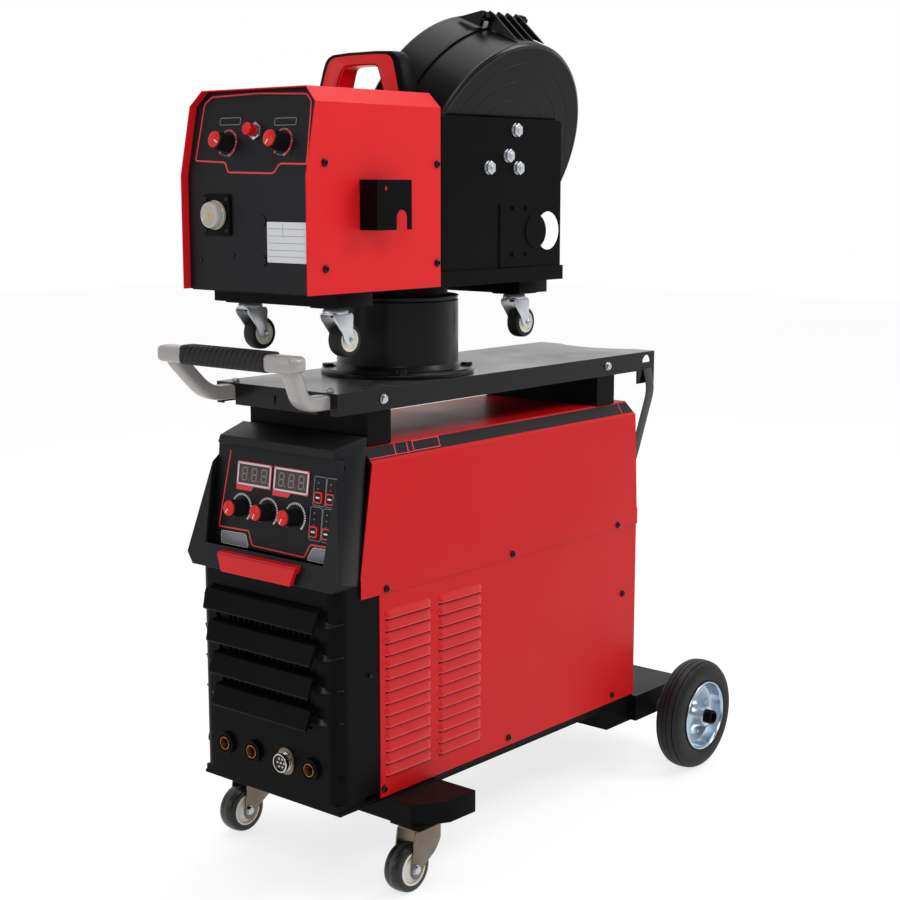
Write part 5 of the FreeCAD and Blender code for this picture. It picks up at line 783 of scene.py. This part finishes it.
under = both_sides([(137, 36, 103), (150, 110, 103), (112, 72, 103)], DOWN)
fasteners("outrigger_nuts", under, NUT, zinc, "root")
print(len(case_screws), "case screws,", len(tray_bolts), "tray bolts,", len(hub_nuts), "hub nuts")

# %% [markdown]
# ## Wheels
# The frame's wheels are plain turned solids. Here each gets a smooth turned section: the tyre's
# grooves and shoulders, the pressed rim with its hub and rivets, and on the castors a tread of
# pressed rubber crumb with a pale ring round the hub.

# %% Rear wheels
def whole(half):
    """A profile from its half at positive places: the half, and then its mirror image backwards."""
    return half + [(-place, radius) for place, radius in reversed(half)]


TYRE = whole([(14, 61.5), (21, 62.4), (23.2, 66), (24, 72), (24, 80), (22.6, 88), (19.6, 93.6), (15.4, 96.6),
              (15.1, 95.2), (14.1, 95.2), (13.7, 97.6), (10, 98.6), (4.8, 99.2), (4.4, 97.8), (3.4, 97.8),
              (3.0, 99.4)])
RIM = [(24.6, 62.3), (25.6, 61.6), (25.6, 60.2), (24.4, 59.2), (20, 58.2), (10, 56.5), (4.5, 54), (2.4, 50),
       (2.2, 40), (3.2, 33), (6.5, 27), (14, 22.5), (24, 19.4), (29.2, 18.2), (30, 17.2), (30, 10.4),
       (-30, 10.4), (-30, 17.2), (-24, 19.4), (-14, 22.5), (-6.5, 27), (-2.2, 33), (-1.6, 50), (-4.5, 54),
       (-10, 56.5), (-20, 58.2), (-24.4, 59.2), (-25.6, 60.2), (-25.6, 61.6), (-24.6, 62.3)]
RIVET = [(-0.5, 3), (0, 3.6), (1.3, 3.2), (2.2, 1.8)]
AXLE_CAP = [(-8, 11.2), (0, 12.6), (11.2, 12.6), (12.6, 11.4), (13, 9)]
WHEEL_X, WHEEL_Y, WHEEL_Z, RIVET_RING, AXLE_CAP_X = 225, 761.7, 100, 42, 255.2
for side, name in SIDES:
    middle = mm(side * WHEEL_X, WHEEL_Y, WHEEL_Z)
    body = f"rear_wheel_{name}"
    for part, profile, material in (("tyre", TYRE, tyre_rubber), ("rim", RIM, blue_zinc)):
        made = lathe(f"{part}_{name}", profile, middle, (side, 0, 0), material, body, steps=96, ring=True)
        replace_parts(made, f"rear_{part}_{name}")
    rivets = [(side * (WHEEL_X + 2.2), WHEEL_Y + RIVET_RING * cos(a), WHEEL_Z + RIVET_RING * sin(a))
              for a in np.radians((20, 110, 200, 290))]
    fasteners(f"rim_rivets_{name}", [(place, (side, 0, 0)) for place in rivets], RIVET, zinc, body)
    lathe(f"axle_cap_{name}", AXLE_CAP, mm(side * AXLE_CAP_X, WHEEL_Y, WHEEL_Z), (side, 0, 0), black_plastic,
          "root", steps=40)
print("rear wheels turned")

# %% Castor wheels
BIG_TREAD = whole([(13.2, 25.2), (15, 27), (15, 32.5), (13.6, 35.3), (10, 36.9), (4, 37.5)])
BIG_HUB = whole([(13.6, 26.4), (15.2, 25.8), (15.4, 23.2), (13.8, 22.4), (12.2, 21.2), (11.8, 16),
                 (13.4, 13.5), (14.8, 10.5), (14.8, 5.2)])


def scaled(profile, wide, tall):
    """A profile stretched along its axis and away from it."""
    return [(place * wide, radius * tall) for place, radius in profile]


BIG_WHEELS = [(f"castor_{name}", side * 183, 20, 37.5, 1, 1) for side, name in SIDES]
SMALL_WHEELS = [(f"feeder_castor_{end}_{name}", side * 90, y, 832, 0.733, 0.667)
                for end, y in (("front", -6.5), ("rear", 412)) for side, name in SIDES]
for name, x, y, z, wide, tall in BIG_WHEELS + SMALL_WHEELS:
    middle, body = mm(x, y, z), f"{name}_roller"
    layers = [("tread", BIG_TREAD, tyre_crumb if tall == 1 else tyre_rubber), ("hub", BIG_HUB, ivory)]
    if tall == 1:
        layers.append(("band", whole([(3.4, 37.2), (3.2, 37.75)]), crumb_band))
    for part, profile, material in layers:
        made = lathe(f"{name}_{part}", scaled(profile, wide, tall), middle, RIGHT, material, body, steps=64,
                     ring=True)
        if part == "tread":
            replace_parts(made, f"{name}_wheel")
print("castor wheels turned")

# %% [markdown]
# ## The feeder's handle
# Handles, straps and louvres are all one idea: a small closed ring of points is carried along a way,
# and each ring is stitched to the next. Here a dark shell has a red band let into it. Both are the same
# arch swept with a different ring: the shell reaches from the outer edge inwards, and the band stands a
# little proud of its front, back and inner faces.

# %% Feeder handle
HANDLE_MIDDLE = 143
ARCH = [(-90, 1189.5, -50, 1189.5, 19), (-89, 1200, -48, 1198, 19), (-81, 1229, -40, 1220, 17.5),
        (-76.5, 1241, -35.5, 1229, 16.5), (-71, 1248, -31.5, 1231.6, 15.8), (-62, 1252, -26, 1232.8, 15.4),
        (-30, 1253.8, -12, 1233.4, 15)]
ARCH += [(-a, b, -c, d, e) for a, b, c, d, e in ARCH[::-1]]


def arch(name, ring, material):
    """The handle's arch, swept with a ring of shares: from outer to inner, and from front to back."""
    rings = []
    for outer_x, outer_z, inner_x, inner_z, deep in ARCH:
        rings.append([mm(outer_x + (inner_x - outer_x) * s, HANDLE_MIDDLE + t * deep,
                         outer_z + (inner_z - outer_z) * s) for s, t in ring])
    return sweep(name, rings, material, "feeder")


SHELL_RING = [(0.14, -1), (0.04, -0.9), (0, -0.7), (0, 0.7), (0.04, 0.9), (0.14, 1), (0.96, 1), (0.96, -1)]
BAND_RING = [(0.24, -1.04), (0.24, 1.04), (0.9, 1.04), (1.02, 0.9), (1.02, -0.9), (0.9, -1.04)]
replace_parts(arch("handle_shell", SHELL_RING, black_plastic), "feeder_handle")
arch("handle_band", BAND_RING, red_plastic)
print("feeder handle swept")

# %% [markdown]
# ## The torch socket and the wire's button
# The socket has a pale dust cap with moulded rings and an amber pin in its middle. The button stands
# on a steel hexagon nut, which leans back with the face.

# %% Torch socket and button nut
TORCH_X, TORCH_Z, FLANGE = -64, 1011.5, 4
TORCH = Face(mm(TORCH_X, FEEDER_FRONT, TORCH_Z), RIGHT, UP)
flange = plate("torch_flange", fillet(rectangle(0, 0, 57, 60), 6), TORCH, 0, FLANGE, black_plastic, "feeder",
               rim=0.8)
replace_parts(flange, "torch_socket")
CAP = [(0, 20.4), (1, 21), (4, 21), (5, 20), (12.6, 19.2), (14.6, 18.2), (15.6, 16.4), (15.8, 15),
       (14.8, 14.2), (14.6, 11.8), (15.3, 11.2), (15.3, 9.6), (14.4, 9), (14.2, 6.4), (14.9, 5.8), (14.9, 0)]
PIN = [(13, 4), (15.2, 4), (15.6, 3.4), (15.6, 0)]
cap_foot = mm(TORCH_X, FEEDER_FRONT - FLANGE, TORCH_Z)
lathe("torch_cap", CAP, cap_foot, FORWARD, cap_white, "feeder", steps=56)
lathe("torch_pin", PIN, cap_foot, FORWARD, amber, "feeder", steps=32)
BUTTON_NUT = [(0, 10.6, "hex"), (0.6, 11.4, "hex"), (5.2, 11.4, "hex"), (6, 10.4), (6, 7), (7.6, 6.9),
              (7.6, 5.4)]
button_foot = np.array([7.3, FEEDER_FRONT, 1068]) + FEEDER_FACE.up * 62.5
fasteners("button_nut", [(button_foot, FEEDER_FACE.out)], BUTTON_NUT, steel, "feeder")
print("torch socket and nut in place")

# %% [markdown]
# ## Output sockets
# Each brass socket sits deep in a black insulating cup, and the seven-pin connector is chromed. The
# cup is a turned ring with a chamfered mouth, so that it reads as a funnel round the brass.

# %% Output sockets
CUP = [(-1, 17.2), (4.6, 17.2), (5.4, 16.4), (5.4, 14.6), (4.4, 13.2), (1.5, 12.2), (-1, 12.2)]
BRASS = [(-20, 10.4), (5, 10.4), (6, 10), (6.2, 9.6), (6, 9.1), (5, 8.8), (-20, 8.8)]
THROAT = [(-26, 8.6), (4.2, 8.6), (1, 6.6), (-24, 6.5), (-24, 0), (-26, 0)]
SOCKET_Z, SOCKET_FRONT, CONNECTOR_X, CONNECTOR_FRONT = 200, -89, 38, -88
for name, x in (("left", -92), ("inner", -32), ("right", 92)):
    middle = mm(x, SOCKET_FRONT, SOCKET_Z)
    lathe(f"socket_cup_{name}", CUP, middle, FORWARD, black_plastic, "root", steps=48, ring=True)
    ring = lathe(f"socket_brass_{name}", BRASS, middle, FORWARD, brass, "root", steps=48, ring=True)
    lathe(f"socket_throat_{name}", THROAT, middle, FORWARD, copper_dark, "root", steps=48)
    if name == "left":
        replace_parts(ring, "front_sockets")
middle = mm(CONNECTOR_X, CONNECTOR_FRONT, SOCKET_Z)
oval = [(19.5 * cos(a) * (0.86 + 0.14 * abs(sin(a))), 19.5 * sin(a) * 1.08) for a in whole_turn(40)]
plate("connector_flange", oval, Face(middle, RIGHT, UP), 0, 1.6, fork_steel, "root", rim=0.3)
COLLAR = [(0, 14.6), (3.4, 14.6), (3.8, 13.9), (5, 13.9), (5.4, 14.6), (6.6, 14.6), (7, 13.9), (8.2, 13.9),
          (8.6, 14.6), (13.4, 14.6), (14, 14), (14, 12.6), (5.6, 12.2), (5.6, 0)]
lathe("connector_collar", COLLAR, middle, FORWARD, chrome, "root", steps=48)
INSERT = [(4, 12.3), (10.6, 12.3), (10.6, 0)]
lathe("connector_insert", INSERT, middle, FORWARD, socket_black, "root", steps=40)
pins = [(0, 0), *circle(0, 0, 7, 6)]
pin_spots = [((CONNECTOR_X + x, CONNECTOR_FRONT - 10, SOCKET_Z + z), FORWARD) for x, z in pins]
fasteners("connector_pins", pin_spots, [(0, 1.9), (1.4, 1.9), (2.2, 1.2)], chrome, "root", sides=12)
print("sockets turned")

# %% [markdown]
# ## Pressed louvres
# Each louvre on the side panels is a smooth wave in the sheet: it swells from nothing at its ends and
# top to a sharp lower lip. The wave is a small grid whose height is a product of two curves, and a
# thin dark strip below the lip is painted shadow where the slot opens under it.

# %% Louvres
LOUVRE_LONG, LOUVRE_HIGH, LOUVRE_OUT = 106.0, 15.0, 4.6
FIRST_Y, FIRST_Z, COLUMN_STEP, ROW_STEP = 10.5, 175.6, 122, 18.7
PANEL_X, PANEL_BACK, BURIED = 150, 149.4, 0.4
LIP_SHADOW = ((1.5, -3.2), (101, -3.2), (104, 0.3), (1, 0.3))
NEAR_END, FAR_END, LIP, LEAST_HIGH = 0.05, 0.1, 0.06, 0.72
across = np.array([0, 0.012, 0.025, 0.038, NEAR_END, 0.1, 0.5, 0.9, 0.93, 0.96, 0.98, 1.0])
up_share = np.array([0, LIP, 0.16, 0.32, 0.52, 0.76, 1.0])


def louvre(x_side, y, z):
    """One wave, as rings that run from its lower lip to its top, each closed behind the sheet."""
    swell = np.sin(np.clip(np.minimum(across / NEAR_END, (1 - across) / FAR_END), 0, 1) * pi / 2)
    rings = []
    for share in up_share:
        rise = (1 + cos((share - LIP) / (1 - LIP) * pi)) / 2 if share else 1.0
        out = -BURIED + (LOUVRE_OUT + BURIED) * swell * rise
        shape = LOUVRE_HIGH * (LEAST_HIGH + (1 - LEAST_HIGH) * swell)
        front = [mm(x_side * (PANEL_X + o), y + LOUVRE_LONG * a, z + h * share)
                 for a, o, h in zip(across, out, shape)]
        back = [mm(x_side * PANEL_BACK, y + run, z + LOUVRE_HIGH * share) for run in (LOUVRE_LONG, 0)]
        rings.append(front + back)
    return rings


for side, name in SIDES:
    places = [(FIRST_Y + column * COLUMN_STEP, FIRST_Z + row * ROW_STEP)
              for column in range(2) for row in range(14)]
    several(f"louvres_{name}", [louvre(side, y, z) for y, z in places], louvre_red, "root")
    panel_face = Face(mm(PANEL_X * side, 0, 0), (0, side, 0), UP)
    # Below each lip a dark strip: painted shadow where the slot opens under the lip.
    lip_shadows = [[(side * (y + a), z + b) for a, b in LIP_SHADOW] for y, z in places]
    many_plates(f"louvre_lip_shadows_{name}", lip_shadows, panel_face, -0.2, 0.3, lip_shadow_dark, "root")
print(len(places), "louvres a side")

# %% [markdown]
# ## The push handle
# Two cast arms hold a square bar with a moulded grip. A rounded square ring is the section of all
# three. On the bar it shrinks towards the end, along a quarter circle, so that the end is domed. On
# the grip every few rings are drawn in, which gives the finger ribs.

# %% Push handle and grip
RING_STEPS = 28


def soft_square(half_wide, half_high, power):
    """A superellipse: a square whose corners get rounder as the power falls to two."""
    c, s = np.cos(whole_turn(RING_STEPS)), np.sin(whole_turn(RING_STEPS))
    return np.column_stack([half_wide * np.sign(c) * abs(c) ** (2 / power),
                            half_high * np.sign(s) * abs(s) ** (2 / power)])


BAR_Y, BAR_Z, BAR_ROOT, BAR_END, DOME = -150.8, 809.5, 78, 134, 12
for side, name in SIDES:
    rings = []
    for turn in np.concatenate([[-0.9], np.linspace(0, pi / 2, 9)[:-1], [1.45]]):
        reach = BAR_ROOT if turn < 0 else BAR_END + DOME * sin(turn)
        draw = 0 if turn < 0 else DOME * (1 - cos(turn))
        ring = soft_square(16 - draw, 12.6 - 0.75 * draw, 4)
        rings.append([mm(side * reach, BAR_Y + a, BAR_Z + b) for a, b in ring])
    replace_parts(sweep(f"handle_bar_{name}", rings, cast_grey, "root"), "push_handle")
    path = fillet([(124, -147, 812), (121, -146, 799), (100.5, -107, 746.5), (100.5, -29.5, 746.2)],
                  [0, 16, 24, 0], closed=False, steps=8)
    run = np.gradient(path, axis=0)
    run /= np.linalg.norm(run[:, 1:], axis=1)[:, None]
    rings = [[mm(side * (middle[0] + a), middle[1] + b * way[2], middle[2] - b * way[1])
              for a, b in soft_square(13, 11.4, 4)] for middle, way in zip(path, run)]
    sweep(f"handle_arm_{name}", rings, cast_grey, "root")

GRIP_HALF, RIB_EVERY, SLANT = 88.0, 11.0, 0.35
rib_places = np.sort(np.concatenate([np.arange(-77, 78, RIB_EVERY) + d for d in (-1.6, -0.7, 0.7, 1.6)]))
stations = [(-GRIP_HALF, 0.9), (-GRIP_HALF + 1, 1.0)]
stations += [(x, 1.0 if k % 4 in (0, 3) else 0.93) for k, x in enumerate(rib_places)]
stations += [(GRIP_HALF - 1, 1.0), (GRIP_HALF, 0.9)]
rings = []
for x, size in stations:
    ring = soft_square(17.4, 14.6, 5)
    ring *= np.where(ring[:, 1:] > 5, size, 0.985 if size < 0.95 else size)
    lean = SLANT * min(1.0, (GRIP_HALF - abs(x)) / 10)
    rings.append([mm(x + lean * b, BAR_Y - 0.4 + a, BAR_Z + 1 + b) for a, b in ring])
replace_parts(sweep("handle_sleeve", rings, grip_foam, "root"), "handle_grip")
print(len(rib_places) // 4, "ribs on the grip")

# %% [markdown]
# ## The bottle strap
# The gas bottle's strap is flat webbing that hangs in a loop behind the tray. It is a thin closed band
# carried along a smoothed path, with a fine rib every few millimetres as woven webbing has.

# %% Bottle strap
strap_low, strap_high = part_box("bottle_strap")
half_path = [(128.6, 730), (137.6, 694.5), (96.4, 541), (55.2, 470), (29, 452.2)]
outline = fillet(whole(half_path), [0, 34, 60, 34, 20, 20, 34, 60, 34, 0], closed=False, steps=12)
steps = np.linalg.norm(np.diff(outline, axis=0), axis=1)
travel = np.concatenate([[0], np.cumsum(steps)])
STRAP_LONG = travel[-1]
samples = np.linspace(0, STRAP_LONG, 180)
line = np.column_stack([np.interp(samples, travel, outline[:, k]) for k in (0, 1)])
way = np.gradient(line, axis=0)
way /= np.linalg.norm(way, axis=1)[:, None]
out = np.column_stack([-way[:, 1], way[:, 0]])
low_y, high_y = strap_low[1] * 1000 - CASE_FRONT + 0.3, strap_high[1] * 1000 - CASE_FRONT - 0.3
rings = []
for index, (spot, aside) in enumerate(zip(line, out)):
    half = 0.85 + 0.12 * (index % 2)
    section = [(low_y, -0.5), (low_y + 1.2, -half), (high_y - 1.2, -half), (high_y, -0.5)]
    section += [(y, -h) for y, h in reversed(section)]
    rings.append([mm(spot[0] + aside[0] * h, y, spot[1] + aside[1] * h) for y, h in section])
strap = sweep("strap_webbing", rings, webbing, "root")
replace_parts(strap, "bottle_strap")
print("strap", round(STRAP_LONG), "mm long")

# %% [markdown]
# ## Castor forks
# A pressed fork is two cheeks under a crown, with a ball race on top. The cheek is one outline with
# rounded corners, the race is turned, and the axle is a bolt with a hexagon head. `inner` is the way
# from the wheel's middle to a cheek, `race` is a radius, and `share` scales the bolt down on the small
# castors.

# %% Castor forks
BIG_CHEEK = [(20, 96.4), (78, 96.4), (77.5, 70), (65, 53.5), (42, 39.5), (33, 26), (27, 21.5), (16, 21.5),
             (10.5, 31), (14, 60)]
SMALL_CHEEK = [(-42, 870.6), (-2, 870.6), (-3.2, 848), (-4.4, 829), (-9, 824.4), (-15, 825), (-20, 831),
               (-24, 842), (-42, 864)]
AXLE_BOLT = [(-0.5, 7.4), (0.8, 7.4), (0.9, 5.8, "hex"), (4.4, 5.8, "hex"), (5, 5), (5, 3)]


def castor_fork(name, x, pivot, axle, inner, thick, cheek, race, top, metal, share):
    """Two cheeks, a crown, a race and an axle bolt, all on the body that swivels."""
    for side, label in SIDES:
        face = Face(mm(x + side * inner, 0, 0), (0, side, 0), UP)
        outline = fillet([(side * y, z) for y, z in cheek][::side], 5)
        made = plate(f"{name}_cheek_{label}", outline, face, 0, thick, metal, name, rim=0.5)
        if side == 1:
            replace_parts(made, f"{name}_fork")
    top_z = cheek[0][1]
    near, far = min(y for y, z in cheek if z == top_z), max(y for y, z in cheek)
    crown = fillet(rectangle(x, (near + far) / 2, 2 * (inner + thick), far - near - 1), 4)
    level = Face(mm(0, 0, top_z - 1), RIGHT, (0, 1, 0))
    plate(f"{name}_crown", crown, level, 0, thick, metal, name, rim=0.5)
    low = top_z + thick - 1
    high = top - low
    profile = [(0, race - 5), (0, race - 1), (1.4, race), (3.2, race), (high - 1.4, race - 1.6),
               (high, race - 3), (high, 8), (0, 8)]
    lathe(f"{name}_race", profile, mm(x, pivot, low), UP, metal, name, steps=40, ring=True)
    bolts = [((x + side * (inner + thick), *axle), (side, 0, 0)) for side in (1, -1)]
    fasteners(f"{name}_axle_bolt", bolts, [(h * share, r * share, *shape) for h, r, *shape in AXLE_BOLT],
              zinc, name)


for name, x, y, z, wide, tall in BIG_WHEELS:
    castor_fork(name, x, pivot=48, axle=(y, z), inner=16.6, thick=2.5, cheek=BIG_CHEEK, race=24, top=99.6,
                metal=fork_steel, share=1)
for name, x, y, z, wide, tall in SMALL_WHEELS:
    moved = [(a + y + 6.5, b) for a, b in SMALL_CHEEK]
    castor_fork(name, x, pivot=y - 18, axle=(y, z), inner=12.6, thick=2, cheek=moved, race=19, top=879,
                metal=bright_zinc, share=0.62)
print("castor forks pressed")

# %% [markdown]
# ## Small forms of the moulded shells
# The grille's slats run out into little wings on the rounded corner of the shell. One wing is a stack
# of four rings, and each row's is moved down and inwards from the one above. The spool cover has faint
# turned rings on its face and a rounded rim that catches the light. The wings and the rim take a lighter
# black than their shells, a painted highlight. Round plugs close the spare holes.

# %% Slat wings, cover rings and plugs
WING = ((1, [(110, -90.5, 423.5), (121, -88, 434.5), (122, -82, 434), (111, -82, 422)]),
        (0.95, [(118, -92.5, 421.5), (126, -90, 430.5), (127, -80, 430), (119, -80, 420.5)]),
        (0.7, [(134, -90.5, 421.5), (137, -86, 428), (136, -76, 427.5), (134, -76, 420.5)]),
        (0.06, [(149, -79, 427.5), (149, -78, 429.2), (146, -70, 429), (146, -70, 427.2)]))
WING_DROP, WING_SHIFT = 49.5, 5.6
wings = [[[mm(side * (x - WING_SHIFT * row * share), y, z - WING_DROP * row) for x, y, z in ring]
          for share, ring in WING] for side in (1, -1) for row in range(4)]
several("slat_wings", wings, lit_edge_black, "root")
COVER_TILT = radians(21.6)
cover_axis, cover_middle = (cos(COVER_TILT), 0, -sin(COVER_TILT)), mm(93, 356, 1096.5)
RING_BEAD = ((-0.4, -1.6), (0.35, -0.9), (0.35, 0.9), (-0.4, 1.6))
for number, radius in enumerate((98, 127, 155), start=1):
    profile = [(out, radius + aside) for out, aside in RING_BEAD]
    lathe(f"cover_ring_{number}", profile, cover_middle, cover_axis, shell_plastic, "feeder", steps=120,
          ring=True)
RIM_EDGE = [(-6.5, 187.1), (-4.4, 187.4), (-1.6, 185.6), (0.4, 181.6), (0.2, 180.4), (-1.8, 184),
            (-6, 186.4)]
lathe("cover_rim", RIM_EDGE, cover_middle, cover_axis, lit_edge_black, "feeder", steps=144, ring=True)
FACE_PLUG = [(-0.5, 7.6), (0.6, 8), (1.6, 7.4), (2, 5.6), (1.2, 5)]
CORNER_PLUG = [(-1.6, 6.6), (0.5, 6.6), (0.9, 6), (0.5, 5.2), (0.2, 4.8)]
RECESS = [(-1, 4.7), (0.35, 4.7), (0.35, 3)]
corners = both_sides([(144.7, -78.3, 195)], (0.83, -0.56, 0))
fasteners("face_plugs", [((28, FEEDER_FRONT, z), FORWARD) for z in (1004, 947.5)], FACE_PLUG, black_plastic,
          "feeder")
fasteners("corner_plugs", corners, CORNER_PLUG, black_plastic, "root")
fasteners("corner_recesses", corners, RECESS, inner_black, "root")
fasteners("shell_screws", both_sides([(150, -21, 339)]), SMALL_HEAD, black_screw, "root")
print(len(wings), "wings")

# %% [markdown]
# ## The reel behind the hinged cover
# When the cover swings up, the reel shows: copper-coated wire, wound in layers, between a plain near
# flange and a far flange with six spokes. The layers are ridges in the turned profile.

# %% Wire reel
layers = [(-120.6 if k % 2 else -119.8, r) for k, r in enumerate(np.linspace(52, 136, 57))]
turns = [(place, 138 if k % 2 else 137) for k, place in enumerate(np.linspace(-119.6, -25.4, 95))]
wound = [(-119.8, 30), *layers, *turns, (-24.8, 130), (-24.8, 30)]
reel = lathe("reel_wire", wound, cover_middle, cover_axis, winding, "reel", steps=72, ring=True)
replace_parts(reel, "wire_spool")
REEL = {"tube": [(-121.4, 26.2), (-23.6, 26.2), (-23.6, 30.4), (-121.4, 30.4)],
        "rim": [(-124, 139), (-124, 149), (-123.3, 150), (-121.6, 150), (-121, 149), (-121, 139)],
        "hub": [(-124, 26.2), (-124, 51), (-123.2, 52), (-121, 52), (-121, 26.2)],
        "near_flange": [(-24.2, 26.2), (-24.2, 149), (-23.4, 150), (-21.8, 150), (-21, 149), (-21, 26.2)]}
for part, profile in REEL.items():
    lathe(f"reel_{part}", profile, cover_middle, cover_axis, black_plastic, "reel", steps=96, ring=True)
DRUM_END = Face(cover_middle - 0.121 * np.array(cover_axis), FORWARD, (sin(COVER_TILT), 0, cos(COVER_TILT)))
SPOKE = ((51, -11), (140, -7), (140, 7), (51, 11))
spokes = [[(reach * cos(a) - aside * sin(a), reach * sin(a) + aside * cos(a)) for reach, aside in SPOKE]
          for a in np.radians(np.arange(30, 390, 60))]
many_plates("reel_spokes", spokes, DRUM_END, 0, 2.6, black_plastic, "reel")
print(len(spokes), "spokes,", len(layers) // 2, "layers of wire")

# %% [markdown]
# ## Edges that catch the light
# No folded sheet or moulding has a razor edge. Each of the frame's shells is copied, its doubles are
# merged and its flat triangles joined, and a narrow bevel runs along every edge sharper than `CORNER`.
# Weighted normals keep the broad faces flat, so that only the edges shine. The copy stands for the node.

# %% Softened shells
CORNER = radians(35)


def softened(node, width, material, body):
    """A copy of a node with a bevel of some millimetres along its sharp edges."""
    work = bmesh.new()
    work.from_mesh(nodes[node].data)
    bmesh.ops.remove_doubles(work, verts=work.verts, dist=2e-6)
    bmesh.ops.dissolve_limit(work, angle_limit=radians(1), verts=work.verts, edges=work.edges)
    mesh = bpy.data.meshes.new(f"{node}_shell")
    work.to_mesh(mesh)
    work.free()
    made = stand(f"{node}_shell", mesh, material, body)
    bevel = made.modifiers.new("edges", "BEVEL")
    bevel.width, bevel.segments = width / 1000, 2
    bevel.limit_method, bevel.angle_limit = "ANGLE", CORNER
    bevel.use_clamp_overlap = False
    flat = made.modifiers.new("flat_faces", "WEIGHTED_NORMAL")
    flat.weight = 100
    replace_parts(made, node)


SHELLS = (("front_hood", 1.2, hood_plastic, "root"), ("front_grille", 0.5, black_plastic, "root"),
          ("trim_wedge", 1.2, red_plastic, "root"), ("front_outrigger", 1.0, black_paint, "root"),
          ("tray", 0.7, gloss_black, "root"), ("tray_legs", 0.7, black_paint, "root"),
          ("base_frame", 0.7, black_paint, "root"), ("top_cover", 0.5, case_red, "root"),
          ("pedestal_base", 0.8, pedestal_black, "root"),
          ("feeder_cover", 0.5, feeder_red, "feeder"), ("side_plate", 0.7, black_paint, "feeder"),
          ("torch_bracket", 0.7, black_paint, "feeder"), ("feeder_base", 0.5, black_paint, "feeder"))
for shell in SHELLS:
    softened(*shell)
print(len(SHELLS), "shells softened")

# %% [markdown]
# ## Behind the dust screen and at the ends of the crossbeams
# A dark plate behind the dust screen keeps the light out of the case. The two folded crossbeams under
# the feeder are closed by a plain cap at each end.

# %% Backing and caps
SCREEN = Face(mm(0, -62, 0), RIGHT, UP)
plate("screen_backing", [(-97, 258), (97, 258), (117, 452), (-117, 452)], SCREEN, 0, 1, inner_black, "root")
BEAM_END, BEAM_Z, BEAM_WIDE, BEAM_HIGH = 128.7, 891.5, 72.6, 18.6
for side, name in SIDES:
    end = Face(mm(side * BEAM_END, 0, 0), (0, side, 0), UP)
    for beam, y in (("front", -24.5), ("rear", 393.5)):
        outline = rectangle(side * y, BEAM_Z, BEAM_WIDE, BEAM_HIGH)
        plate(f"beam_cap_{beam}_{name}", outline, end, -0.4, 1, black_paint, "feeder", rim=0.3)
print("backing and caps set")
